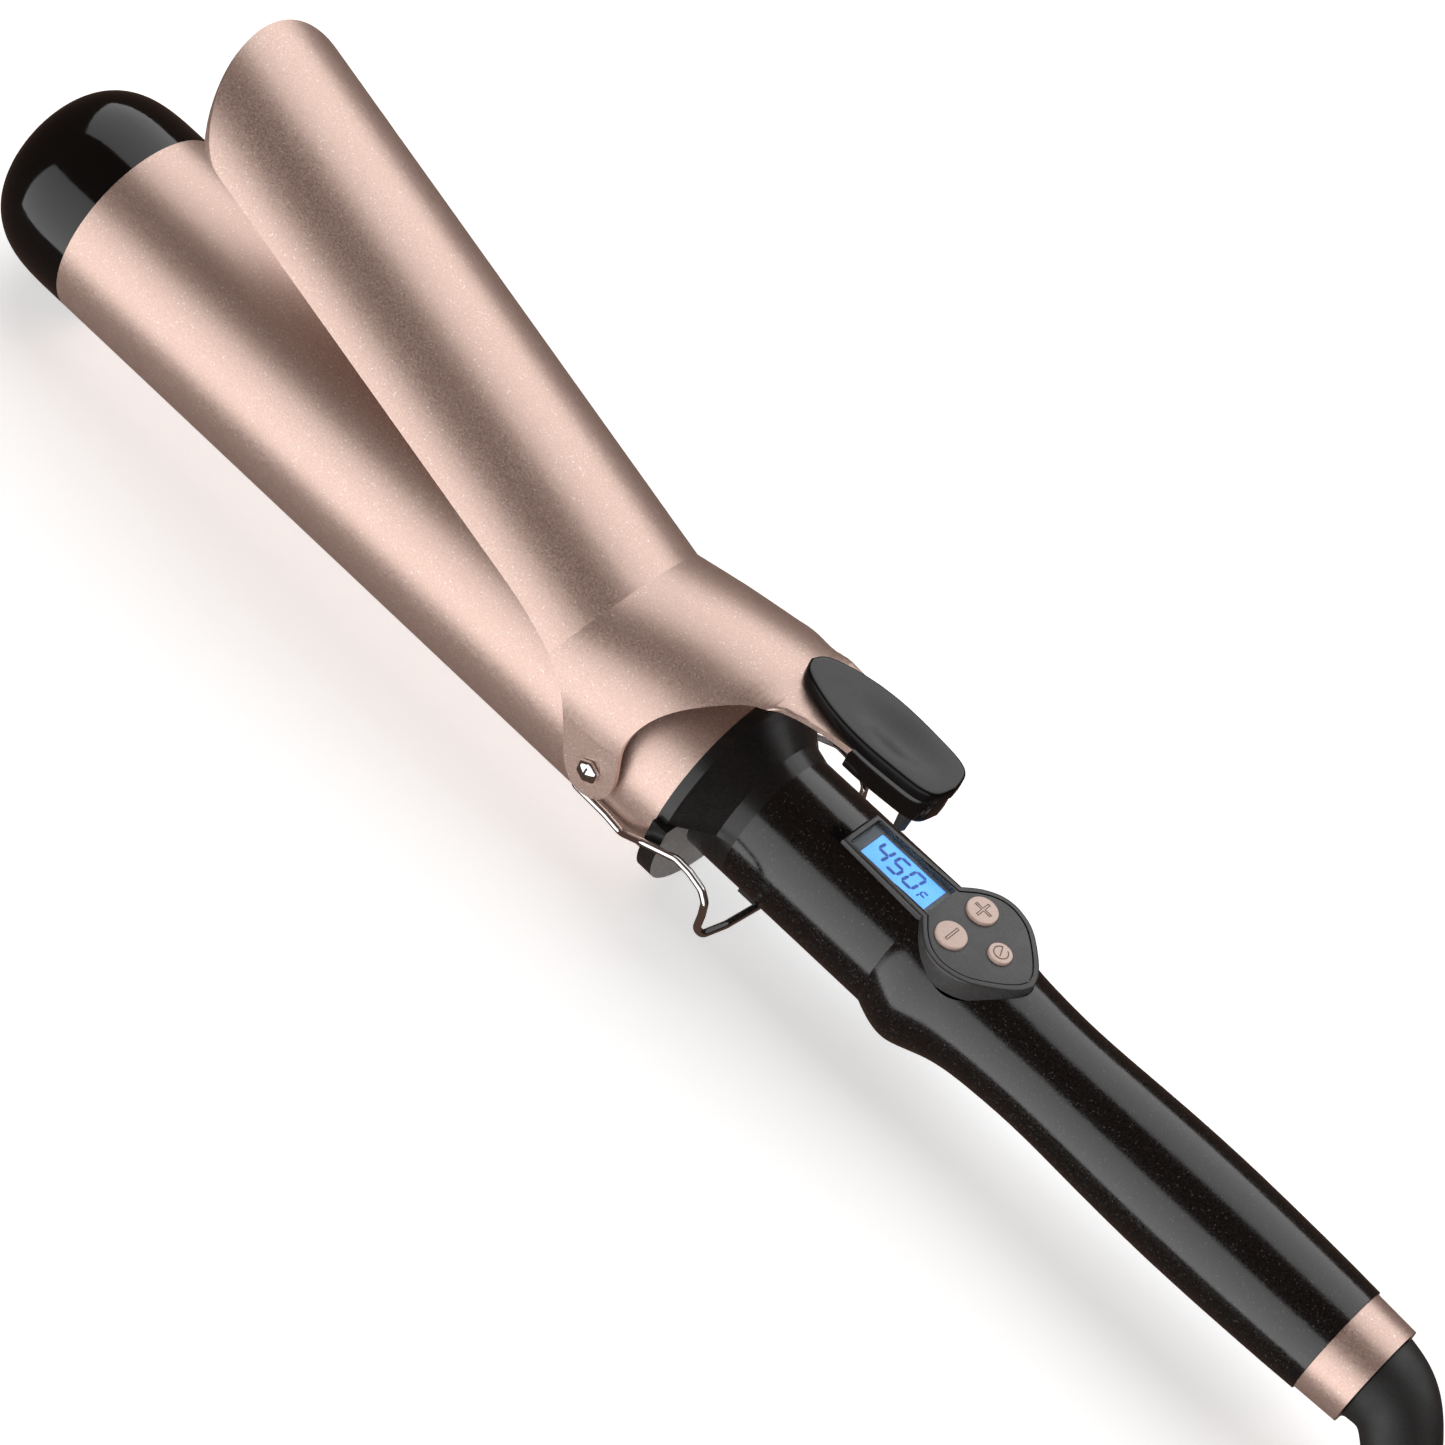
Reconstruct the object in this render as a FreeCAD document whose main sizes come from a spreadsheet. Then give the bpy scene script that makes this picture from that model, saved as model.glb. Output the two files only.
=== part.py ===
import FreeCAD, Part
import math
import os
import Sketcher

# Curling iron.  Working axes: +X runs from the cool tip to the grip, +Z points out
# through the display, and the barrel axis is the X axis.  X = 0 is the joint between
# the barrel and the cool tip.  The finished pieces are moved together at the end so
# that the origin sits under the middle of the whole object.

os.makedirs("parts", exist_ok=True)
doc = FreeCAD.newDocument("CurlingIron")
sheet = doc.addObject("Spreadsheet::Sheet", "D")
sheet.Label = "Dimensions"

DRIVING = {
    "barrel_radius": 25.0,
    "barrel_wall": 1.4,
    "barrel_length": 190.7,
    "tip_length": 30.0,
    "tip_wall": 2.6,
    "tip_straight": 5.0,
    "spigot_clearance": 0.05,
    "tip_spigot": 8.0,
    "spreader_start": 10.0,
    "spreader_end": 164.0,
    "spreader_gap": 3.4,
    "spreader_wall": 2.6,
    "slab_width": 20.0,
    "slab_length": 140.0,
    "collar_spigot": 8.0,
    "collar_ring": 3.4,
    "collar_radius": 25.2,
    "collar_end": 206.0,
    "lug_top": 2.3,
    "flange_thickness": 4.2,
    "neck_radius": 16.6,
    "neck_bore": 12.6,
    "neck_end": 247.2,
    "grip_bore_offset": 2.0,
    "grip_end": 370.6,
    "ring_length": 11.0,
    "ring_radius": 13.1,
    "ring_taper": 0.5,
    "ring_bore": 11.95,
    "socket_radius": 10.1,
    "core_radius": 8.0,
    "core_clearance": 0.05,
    "boot_gap": 0.3,
    "boot_root_radius": 11.0,
    "boot_bend_radius": 15.5,
    "boot_bend_angle": 47.3,
    "boot_straight": 32.0,
    "boot_end_radius": 4.6,
    "boot_direction": 227.0,
    "cord_bore": 3.3,
    "sheet_thickness": 1.2,
    "lever_radius": 26.45,
    "lever_front": 0.4,
    "lever_front_depth": 21.4,
    "lever_edge": 11.0,
    "crease_x": 147.3,
    "hinge_x": 172.8,
    "hinge_z": 1.0,
    "open_angle": 17.3,
    "ear_half_width": 27.6,
    "ear_hole": 2.05,
    "post_radius": 3.4,
    "post_face": 26.1,
    "screw_shoulder": 2.0,
    "screw_head": 2.9,
    "screw_head_height": 2.0,
    "stand_x": 169.4,
    "stand_z": -8.3,
    "wire_radius": 0.92,
    "wire_hole": 1.0,
    "rest_top": 45.3,
    "rest_thickness": 3.6,
    "rest_block_front": 216.0,
    "rest_block_bottom": 34.8,
    "fascia_top": 16.7,
    "fascia_bottom": 11.0,
    "fascia_front": 223.6,
    "fascia_plate": 1.7,
    "fascia_clearance": 0.1,
    "button_x": 255.1,
    "button_y": 5.7,
    "button_radius": 3.7,
    "power_x": 264.9,
    "power_radius": 2.8,
    "button_clearance": 0.05,
    "button_rise": 0.9,
    "board_z": 8.0,
    "board_thickness": 1.6,
}
for row, (name, value) in enumerate(DRIVING.items(), 1):
    sheet.set("A%d" % row, name)
    sheet.set("B%d" % row, str(value))
    sheet.setAlias("B%d" % row, name)
doc.recompute()


def size(name):
    """Value of one driving dimension, read from the sheet."""
    return float(sheet.get(name))


def number(text):
    """Value of an expression written with the sheet's names."""
    found = sheet.evalExpression(text)
    return float(getattr(found, "Value", found))


def bind(thing, prop, text):
    thing.setExpression(prop, text)


# ---------------------------------------------------------------- sketch helpers

def new_body(name):
    body = doc.addObject("PartDesign::Body", name)
    body.Label = name
    return body


def origin_plane(body, role):
    for feature in body.Origin.OriginFeatures:
        if feature.Role == role:
            return feature
    raise ValueError(role)


def new_sketch(body, role, offset=None):
    sketch = body.newObject("Sketcher::SketchObject", body.Name + "_sketch")
    sketch.AttachmentSupport = [(origin_plane(body, role), "")]
    sketch.MapMode = "FlatFace"
    if offset is not None:
        bind(sketch, "AttachmentOffset.Base.z", offset)
    return sketch


def add_outline(sketch, corners):
    """Closed outline of straight sides, each corner held by two distances."""
    first = sketch.GeometryCount
    spots = [FreeCAD.Vector(number(x), number(y), 0) for x, y in corners]
    count = len(spots)
    for i in range(count):
        sketch.addGeometry(Part.LineSegment(spots[i], spots[(i + 1) % count]), False)
    for i in range(count):
        following = first + (i + 1) % count
        sketch.addConstraint(Sketcher.Constraint("Coincident", first + i, 2, following, 1))
    for i, (x, y) in enumerate(corners):
        hold_point(sketch, first + i, 1, x, y)


def hold_point(sketch, element, vertex, x, y):
    for kind, text in (("DistanceX", x), ("DistanceY", y)):
        made = Sketcher.Constraint(kind, -1, 1, element, vertex, number(text))
        index = sketch.addConstraint(made)
        bind(sketch, "Constraints[%d]" % index, text)


def add_circle(sketch, x, y, radius):
    centre = FreeCAD.Vector(number(x), number(y), 0)
    up = FreeCAD.Vector(0, 0, 1)
    element = sketch.addGeometry(Part.Circle(centre, up, number(radius)), False)
    hold_point(sketch, element, 3, x, y)
    index = sketch.addConstraint(Sketcher.Constraint("Radius", element, number(radius)))
    bind(sketch, "Constraints[%d]" % index, radius)


def spin(body, sketch, kind="PartDesign::Revolution", angle=360.0, reverse=False):
    made = body.newObject(kind, body.Name + "_spin")
    made.Profile = sketch
    made.ReferenceAxis = (sketch, ["H_Axis"])
    made.Angle = angle
    made.Reversed = reverse
    sketch.Visibility = False
    return made


def pad(body, sketch, length, both_ways=False, reverse=False):
    made = body.newObject("PartDesign::Pad", body.Name + "_pad")
    made.Profile = sketch
    made.Midplane = both_ways
    made.Reversed = reverse
    bind(made, "Length", length)
    sketch.Visibility = False
    return made


def pocket(body, sketch, length, both_ways=False, reverse=False):
    made = body.newObject("PartDesign::Pocket", body.Name + "_pocket")
    made.Profile = sketch
    made.Midplane = both_ways
    made.Reversed = reverse
    bind(made, "Length", length)
    sketch.Visibility = False
    return made


def turned(name, corners):
    """Body made by turning one straight-sided outline about the X axis."""
    body = new_body(name)
    sketch = new_sketch(body, "XZ_Plane")
    add_outline(sketch, corners)
    spin(body, sketch)
    return body


# ------------------------------------------------------------ plain solid helpers

def box(name, low, length, width, height):
    made = doc.addObject("Part::Box", name)
    bind(made, "Length", length)
    bind(made, "Width", width)
    bind(made, "Height", height)
    for axis, text in zip("xyz", low):
        bind(made, "Placement.Base." + axis, text)
    return made


def rod(name, start, direction, radius, height):
    """Cylinder that starts at a point and runs along a direction."""
    made = doc.addObject("Part::Cylinder", name)
    along = FreeCAD.Vector(*direction)
    made.Placement.Rotation = FreeCAD.Rotation(FreeCAD.Vector(0, 0, 1), along)
    bind(made, "Radius", radius)
    bind(made, "Height", height)
    for axis, text in zip("xyz", start):
        bind(made, "Placement.Base." + axis, text)
    return made


def join(name, pieces):
    made = doc.addObject("Part::MultiFuse", name)
    made.Shapes = pieces
    return made


def gather(name, pieces):
    """Separate solids kept side by side in one sub-part."""
    made = doc.addObject("Part::Compound", name)
    made.Links = pieces
    return made


def cut(name, base, tool):
    made = doc.addObject("Part::Cut", name)
    made.Base = base
    made.Tool = tool
    return made


def shaped(name, shape):
    made = doc.addObject("Part::Feature", name)
    made.Shape = shape
    return made


def spline(points):
    curve = Part.BSplineCurve()
    curve.interpolate([FreeCAD.Vector(*point) for point in points])
    return curve.toShape()


def polygon(points, closed=True):
    spots = [FreeCAD.Vector(*point) for point in points]
    if closed:
        spots.append(spots[0])
    return Part.makePolygon(spots)


def bent_path(points, bend):
    """Straight runs joined by round bends, as a bent wire has."""
    spots = [FreeCAD.Vector(*point) for point in points]
    edges = []
    here = spots[0]
    for before, corner, after in zip(spots, spots[1:], spots[2:]):
        back = (before - corner).normalize()
        ahead = (after - corner).normalize()
        half = back.getAngle(ahead) / 2
        room = 0.45 * min((before - corner).Length, (after - corner).Length)
        reach = min(bend / math.tan(half), room)
        if reach < 0.01:
            continue
        radius = reach * math.tan(half)
        middle = (back + ahead).normalize()
        centre = corner + middle * (reach / math.cos(half))
        enter = corner + back * reach
        leave = corner + ahead * reach
        edges.append(Part.LineSegment(here, enter).toShape())
        edges.append(Part.Arc(enter, centre - middle * radius, leave).toShape())
        here = leave
    edges.append(Part.LineSegment(here, spots[-1]).toShape())
    return Part.Wire(edges)


def pipe(points, radius, bend):
    """Round wire that follows straight runs and round bends."""
    path = bent_path(points, bend)
    start = FreeCAD.Vector(*points[0])
    along = FreeCAD.Vector(*points[1]) - start
    ring = Part.Wire([Part.makeCircle(radius, start, along)])
    return path.makePipeShell([ring], True, True)


subparts = []


def keep(made, label):
    made.Label = label
    subparts.append(made)
    return made


# ------------------------------------------------------------------ barrel and tip

tube_body = turned("barrel_tube_blank", [
    ("0 mm / 1 mm", "D.barrel_radius - D.barrel_wall"),
    ("0 mm / 1 mm", "D.barrel_radius"),
    ("D.barrel_length", "D.barrel_radius"),
    ("D.barrel_length", "D.barrel_radius - D.barrel_wall"),
])
across = (0, 1, 0)
post_holes = rod("post_holes", ("D.hinge_x", "-40", "D.hinge_z"), across, "D.post_radius", "80")
wire_holes = rod("wire_holes", ("D.stand_x", "-40", "D.stand_z"), across, "D.wire_hole", "80")
tube_cutters = join("tube_cutters", [post_holes, wire_holes])
keep(cut("barrel_tube", tube_body, tube_cutters), "barrel_tube")


def tip_profile(radius, length):
    """Outline of the blunt round end: a cubic superellipse."""
    straight = size("tip_straight")
    points = [(-straight, 0, radius)]
    for share in (0.35, 0.6, 0.8, 0.92, 0.985):
        across_tip = radius * (1 - share ** 3) ** (1 / 3.0)
        points.append((-straight - share * (length - straight), 0, across_tip))
    points.append((-length, 0, 0))
    return points


def tip_solid(radius, length, back):
    points = tip_profile(radius, length)
    nose = spline(points)
    sides = polygon([points[-1], (back, 0, 0), (back, 0, radius), points[0]], False)
    face = Part.Face(Part.Wire(Part.__sortEdges__([nose] + sides.Edges)))
    return face.revolve(FreeCAD.Vector(0, 0, 0), FreeCAD.Vector(1, 0, 0), 360)


tip_inner_radius = size("barrel_radius") - size("barrel_wall") - size("tip_wall")
tip_spigot_radius = size("barrel_radius") - size("barrel_wall") - size("spigot_clearance")
tip_outer = tip_solid(size("barrel_radius"), size("tip_length"), 0)
tip_spigot = Part.makeCylinder(
    tip_spigot_radius, size("tip_spigot") + 4,
    FreeCAD.Vector(-4, 0, 0), FreeCAD.Vector(1, 0, 0))
tip_hollow = tip_solid(tip_inner_radius, size("tip_length") - 2 * size("tip_wall"), 20)
tip_shape = tip_outer.fuse(tip_spigot).cut(tip_hollow).removeSplitter()
keep(shaped("tip_cap", tip_shape), "tip_cap")

# ---------------------------------------------------------------- heater (inside)

for side, label in ((1, "heat_spreader_upper"), (-1, "heat_spreader_lower")):
    body = new_body(label)
    sketch = new_sketch(body, "YZ_Plane", "D.spreader_start")
    radius = "(D.barrel_radius - D.barrel_wall - 0.1)"
    add_circle(sketch, "0", "0", radius)
    add_circle(sketch, "0", "0", "D.barrel_radius - D.barrel_wall - D.spreader_wall")
    pad(body, sketch, "D.spreader_end - D.spreader_start")
    bridge = new_sketch(body, "YZ_Plane", "D.spreader_start")
    low = "%d * D.spreader_gap / 2" % side
    high = "%d * (D.spreader_gap / 2 + D.spreader_wall)" % side
    wide = "(D.barrel_radius - D.barrel_wall - 1)"
    add_outline(bridge, [("-" + wide, low), (wide, low), (wide, high), ("-" + wide, high)])
    pad(body, bridge, "D.spreader_end - D.spreader_start")
    slot = new_sketch(body, "YZ_Plane", "D.spreader_start")
    beyond = "%d * -40" % side
    add_outline(slot, [("-40", low), ("40", low), ("40", beyond), ("-40", beyond)])
    pocket(body, slot, "D.spreader_end - D.spreader_start + 1", False, True)
    keep(body, label)

keep(gather("ceramic_heater", [box(
    "heater_slab", ("D.spreader_start + 8", "-D.slab_width / 2", "-1.6"),
    "D.slab_length", "D.slab_width", "3.2")]), "ceramic_heater")
along_x = (1, 0, 0)
keep(gather("temperature_sensor", [rod(
    "sensor_bead", ("D.spreader_end", "5", "3.2"), along_x, "1.4", "6")]),
    "temperature_sensor")
keep(gather("thermal_fuse", [rod(
    "fuse_can", ("D.spreader_end", "-6", "-3.4"), along_x, "1.8", "12")]),
    "thermal_fuse")


def lead_pair(y, points):
    """Two insulated wires, one each side of the middle plane."""
    solids = []
    for side in (1, -1):
        solids.append(pipe([(x, side * y, z) for x, z in points], 0.8, 8.0))
    return Part.makeCompound(solids)


slab_end = size("spreader_start") + 8 + size("slab_length")
board_low = size("board_z")
board_front = size("fascia_front") + 1
heater_run = [
    (slab_end + 0.5, 0), (slab_end + 25, -1), (slab_end + 50, 3),
    (board_front - 2, board_low - 2), (board_front + 4, board_low - 0.9)]
keep(shaped("heater_leads", lead_pair(3.0, heater_run)), "heater_leads")

# -------------------------------------------------------------------------- collar

ring_body = turned("collar_ring_blank", [
    ("D.barrel_length - D.collar_spigot", "20"),
    ("D.barrel_length - D.collar_spigot", "D.barrel_radius - D.barrel_wall - D.spigot_clearance"),
    ("D.barrel_length", "D.barrel_radius - D.barrel_wall - D.spigot_clearance"),
    ("D.barrel_length", "D.collar_radius"),
    ("D.barrel_length + D.collar_ring - 0.6", "D.collar_radius"),
    ("D.barrel_length + D.collar_ring", "D.collar_radius - 0.6"),
    ("D.barrel_length + D.collar_ring", "D.neck_radius"),
    ("D.collar_end", "D.neck_radius"),
    ("D.collar_end", "14"),
    ("D.barrel_length + 2", "14"),
    ("D.barrel_length + 2", "20"),
])
shoulder_body = turned("collar_shoulder_blank", [
    ("D.barrel_length + D.collar_ring - 0.2", "15"),
    ("D.barrel_length + D.collar_ring - 0.2", "D.collar_radius - 0.6"),
    ("D.barrel_length + D.collar_ring", "D.collar_radius - 0.6"),
    ("D.barrel_length + D.collar_ring + 2", "D.collar_radius - 2.4"),
    ("D.collar_end - 4", "D.neck_radius + 1.1"),
    ("D.collar_end", "D.neck_radius"),
    ("D.collar_end", "15"),
])
below_shoulder = box(
    "below_shoulder", ("180", "-40", "D.lug_top - 50"), "40", "80", "50")
shoulder_half = cut("shoulder_half", shoulder_body, below_shoulder)

# Flat flange under the shoulder, a little wider than the barrel.
FLANGE_HALF = [
    (26.9, 2.3), (26.9, -4.0), (26.0, -10.0), (23.4, -15.2),
    (18.8, -19.8), (9.6, -24.5), (0.0, -26.0)]
flange_x = size("barrel_length") + 0.2
flange_right = [(flange_x, y, z) for y, z in FLANGE_HALF]
flange_left = [(flange_x, -y, z) for y, z in reversed(FLANGE_HALF[:-1])]
flange_line = flange_right + flange_left
flange_wire = Part.Wire([
    spline(flange_line), polygon([flange_line[-1], flange_line[0]], False).Edges[0]])
flange_disc = Part.Face(flange_wire).extrude(FreeCAD.Vector(size("flange_thickness"), 0, 0))
flange_bore = Part.makeCylinder(
    15, 20, FreeCAD.Vector(flange_x - 5, 0, 0), FreeCAD.Vector(1, 0, 0))
flange = shaped("flange_blank", flange_disc.cut(flange_bore))
keep(join("collar", [ring_body, shoulder_half, flange]), "collar")

# ------------------------------------------------- outline of the control fascia

WIDEST = 14.2
KEYHOLE_HALF = [
    (247.7, 7.2), (251.0, 11.0), (255.0, 13.6), (259.5, WIDEST),
    (265.0, 12.4), (270.5, 7.6), (273.8, 3.4), (275.0, 0.0)]


def grown(points, grow):
    """Points of an open outline moved outward, to its right-hand side."""
    moved_points = []
    for i, (x, y) in enumerate(points):
        before = points[max(i - 1, 0)]
        after = points[min(i + 1, len(points) - 1)]
        along = FreeCAD.Vector(after[0] - before[0], after[1] - before[1], 0).normalize()
        moved_points.append((x + along.y * grow, y - along.x * grow))
    return moved_points


def keyhole(grow, low, high, with_bay=True):
    """Pointed button pad, with or without the display bay, as an upright prism."""
    lower_half = [(x, -y) for x, y in KEYHOLE_HALF]
    upper_half = [(x, y) for x, y in reversed(KEYHOLE_HALF[:-1])]
    edge_points = [(x, y, low) for x, y in grown(lower_half + upper_half, grow)]
    pad_edge = spline(edge_points)
    start, end = edge_points[0], edge_points[-1]
    corners = [end, start]
    if with_bay:
        front = size("fascia_front") - grow
        half_width = 6.3 + grow
        corners = [end, (front, half_width, low), (front, -half_width, low), start]
    bay = polygon(corners, False)
    wire = Part.Wire(Part.__sortEdges__([pad_edge] + bay.Edges))
    return Part.Face(wire).extrude(FreeCAD.Vector(0, 0, high - low))


fascia_room = shaped("fascia_room", keyhole(size("fascia_clearance"), 9.0, 40.0))

# --------------------------------------------------------------------------- neck

neck_blank = turned("neck_blank", [
    ("D.collar_end - 6", "D.neck_bore"),
    ("D.collar_end - 6", "14 - D.spigot_clearance"),
    ("D.collar_end", "14 - D.spigot_clearance"),
    ("D.collar_end", "D.neck_radius"),
    ("D.neck_end", "D.neck_radius"),
    ("D.neck_end", "14.4"),
    ("D.neck_end + 4.5", "14.4"),
    ("D.neck_end + 4.5", "D.neck_bore"),
])
keep(cut("neck_housing", neck_blank, fascia_room), "neck_housing")
rest_stub = box("rest_stub", ("208.6", "-6.5", "-18.7"), "4.6", "13", "3.4")
neck_outside = rod("neck_outside", ("200", "0", "0"), along_x, "D.neck_radius + 0.02", "30")
keep(cut("wire_rest", rest_stub, neck_outside), "wire_rest")

# --------------------------------------------------------------------------- grip

GRIP_LINE = [
    (247.2, 16.7), (251.5, 18.3), (256.0, 18.9), (260.5, 17.8), (265.0, 16.2),
    (270.0, 15.0), (278.0, 14.2), (288.0, 13.8), (302.0, 14.1), (316.0, 14.6),
    (332.0, 14.8), (348.0, 14.5), (360.0, 14.1), (370.6, 13.6)]


def grip_half(side):
    """Half of the hollow grip, above or below the seam plane."""
    thick = size("grip_bore_offset")
    end = size("grip_end")
    outer = spline([(x, r, 0) for x, r in GRIP_LINE])
    inner_points = [(x, r - thick, 0) for x, r in GRIP_LINE]
    inner = spline(inner_points)
    spigot = size("ring_bore") - size("spigot_clearance")
    tail = polygon([
        (end, GRIP_LINE[-1][1], 0), (end, spigot, 0), (end + 8, spigot, 0),
        (end + 8, size("socket_radius") + 0.05, 0),
        (end - 2, size("socket_radius") + 0.05, 0),
        (end - 2, 11.0, 0), inner_points[-1]], False)
    head = polygon([inner_points[0], (GRIP_LINE[0][0], GRIP_LINE[0][1], 0)], False)
    edges = [outer, inner] + tail.Edges + head.Edges
    face = Part.Face(Part.Wire(Part.__sortEdges__(edges)))
    return face.revolve(FreeCAD.Vector(0, 0, 0), FreeCAD.Vector(1, 0, 0), 180 * side)


SCREW_SPOTS = (296.0, 344.0)
up = FreeCAD.Vector(0, 0, 1)
grip_upper = grip_half(1)
grip_lower = grip_half(-1)
for x in SCREW_SPOTS:
    boss_top = FreeCAD.Vector(x, 0, 0)
    grip_upper = grip_upper.fuse(Part.makeCylinder(2.8, 12.9, boss_top, up))
    grip_upper = grip_upper.cut(Part.makeCylinder(1.25, 8, boss_top, up))
    boss_low = FreeCAD.Vector(x, 0, -12.9)
    grip_lower = grip_lower.fuse(Part.makeCylinder(3.4, 12.9, boss_low, up))
    grip_lower = grip_lower.cut(Part.makeCylinder(1.6, 14, boss_low, up))
    head_room = FreeCAD.Vector(x, 0, -16)
    grip_lower = grip_lower.cut(Part.makeCylinder(2.6, 6.4, head_room, up))
grip_upper = grip_upper.cut(fascia_room.Shape).removeSplitter()
keep(shaped("handle_upper", grip_upper), "handle_upper")
keep(shaped("handle_lower", grip_lower.removeSplitter()), "handle_lower")

grip_screws = []
for x in SCREW_SPOTS:
    shank = Part.makeCylinder(1.2, 16.6, FreeCAD.Vector(x, 0, -9.6), up)
    head = Part.makeCylinder(2.4, 2.2, FreeCAD.Vector(x, 0, -11.8), up)
    slot = Part.makeBox(4, 0.8, 1.0, FreeCAD.Vector(x - 2, -0.4, -12.0))
    cross = Part.makeBox(0.8, 4, 1.0, FreeCAD.Vector(x - 0.4, -2, -12.0))
    grip_screws.append(shank.fuse(head).cut(slot).cut(cross))
keep(shaped("handle_screws", Part.makeCompound(grip_screws)), "handle_screws")

# -------------------------------------------------------- display, panel, buttons

top = size("fascia_top")
plate_low = top - size("fascia_plate")
BUTTONS = (
    ("button_plus", size("button_x"), size("button_y"), size("button_radius")),
    ("button_minus", size("button_x"), -size("button_y"), size("button_radius")),
    ("button_power", size("power_x"), 0.0, size("power_radius")),
)
window_low = FreeCAD.Vector(225.2, -5.95, plate_low - 2)
window_hole = Part.makeBox(22.4, 11.9, 10, window_low)
fascia = keyhole(0, size("fascia_bottom"), top)
fascia = fascia.cut(keyhole(-1.5, size("fascia_bottom") - 1, plate_low))
fascia = fascia.cut(keyhole(-1.4, top - 0.8, top + 1, False)).cut(window_hole)
inlay = keyhole(-1.45, top - 0.8, top - 0.1, False)
for label, x, y, radius in BUTTONS:
    hole_radius = radius + size("button_clearance")
    hole = Part.makeCylinder(hole_radius, 20, FreeCAD.Vector(x, y, 5), up)
    fascia = fascia.cut(hole)
    inlay = inlay.cut(hole)
keep(shaped("control_fascia", fascia.removeSplitter()), "control_fascia")
keep(shaped("panel_inlay", inlay), "panel_inlay")
keep(gather("display_window", [box(
    "window_pane", ("225.25", "-5.9", "D.fascia_top - 1.7"), "22.3", "11.8", "1.3")]),
    "display_window")
keep(gather("display_panel", [box(
    "lit_panel", ("226.4", "-4.7", "D.fascia_top - 4.6"), "20.6", "9.4", "2.8")]),
    "display_panel")

board_top = board_low + size("board_thickness")
switch_top = board_top + 3.0
for label, x, y, radius in BUTTONS:
    flange_low = FreeCAD.Vector(x, y, plate_low - 0.9)
    cap_low = FreeCAD.Vector(x, y, plate_low - 0.3)
    cap = Part.makeCylinder(radius, size("button_rise") + 2.0, cap_low, up)
    flange = Part.makeCylinder(radius + 0.7, 0.8, flange_low, up)
    stem_low = FreeCAD.Vector(x, y, switch_top + 0.6)
    stem = Part.makeCylinder(1.5, plate_low - stem_low.z, stem_low, up)
    keep(shaped(label, cap.fuse(flange).fuse(stem).removeSplitter()), label)

board = box("board_blank", ("D.fascia_front + 1", "-8", "D.board_z"),
            "48", "16", "D.board_thickness")
keep(gather("circuit_board", [board]), "circuit_board")
switches = []
for label, x, y, radius in BUTTONS:
    base = Part.makeBox(4.5, 4.5, 2.2, FreeCAD.Vector(x - 2.25, y - 2.25, board_top))
    dot = Part.makeCylinder(1.0, 3.0, FreeCAD.Vector(x, y, board_top), up)
    switches.append(base.fuse(dot))
keep(shaped("tact_switches", Part.makeCompound(switches)), "tact_switches")
keep(gather("control_chip", [box(
    "chip_block", ("232", "-3.5", "D.board_z - 1.4"), "9", "7", "1.4")]), "control_chip")

# ------------------------------------------------------------------- swivel end

keep(turned("end_ring", [
    ("D.grip_end + 0.1", "D.ring_bore"),
    ("D.grip_end + 0.1", "D.ring_radius"),
    ("D.grip_end + D.ring_length", "D.ring_radius - D.ring_taper"),
    ("D.grip_end + D.ring_length", "D.boot_root_radius - 0.6"),
    ("D.grip_end + D.ring_length - 1.4", "D.boot_root_radius - 0.6"),
    ("D.grip_end + D.ring_length - 1.4", "D.ring_bore"),
]), "end_ring")
keep(turned("swivel_socket", [
    ("D.grip_end - 14", "D.core_radius + D.core_clearance"),
    ("D.grip_end - 14", "D.socket_radius"),
    ("D.grip_end + 8", "D.socket_radius"),
    ("D.grip_end + 8", "D.core_radius + D.core_clearance"),
]), "swivel_socket")
boot_start = "D.grip_end + D.ring_length + D.boot_gap"
keep(turned("swivel_core", [
    ("D.grip_end - 16", "2.5"),
    ("D.grip_end - 16", "D.core_radius + 1.2"),
    ("D.grip_end - 14.3", "D.core_radius + 1.2"),
    ("D.grip_end - 14.3", "D.core_radius"),
    ("D.grip_end + 8.3", "D.core_radius"),
    ("D.grip_end + 8.3", "D.core_radius + 1.4"),
    (boot_start, "D.core_radius + 1.4"),
    (boot_start, "2.5"),
]), "swivel_core")
rings = []
for x in (349.0, 352.0):
    band = Part.makeCylinder(4.5, 1.6, FreeCAD.Vector(x, 0, 0), FreeCAD.Vector(1, 0, 0))
    bore = Part.makeCylinder(2.5, 1.6, FreeCAD.Vector(x, 0, 0), FreeCAD.Vector(1, 0, 0))
    rings.append(band.cut(bore))
spindle = Part.makeCylinder(2.5, 7.3, FreeCAD.Vector(347.9, 0, 0), FreeCAD.Vector(1, 0, 0))
rings.append(spindle)
keep(shaped("contact_rings", Part.makeCompound(rings)), "contact_rings")
fingers = []
for x, side in ((349.2, 1), (352.2, -1)):
    fingers.append(Part.makeBox(1.2, 5.2, 0.5, FreeCAD.Vector(x, side * 6.0 - 2.6, 4.8)))
keep(shaped("contact_fingers", Part.makeCompound(fingers)), "contact_fingers")
handle_run = [(270.0, board_low - 0.9), (278.0, board_low - 1.6), (300.0, 6.4),
              (330.0, 6.2), (349.0, 6.1)]
keep(shaped("handle_leads", lead_pair(5.4, handle_run)), "handle_leads")

# ------------------------------------------------------------- strain-relief boot


def boot_station(distance):
    """Point and direction on the boot's bent centre line."""
    bend = size("boot_bend_radius")
    turn = math.radians(size("boot_bend_angle"))
    side_angle = math.radians(size("boot_direction"))
    sideways = FreeCAD.Vector(0, math.sin(side_angle), math.cos(side_angle))
    forward = FreeCAD.Vector(1, 0, 0)
    start = FreeCAD.Vector(number(boot_start), 0, 0)
    here = min(distance / bend, turn)
    point = start + forward * (bend * math.sin(here))
    point = point + sideways * (bend * (1 - math.cos(here)))
    along = forward * math.cos(here) + sideways * math.sin(here)
    return point + along * max(0.0, distance - bend * turn), along


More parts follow.
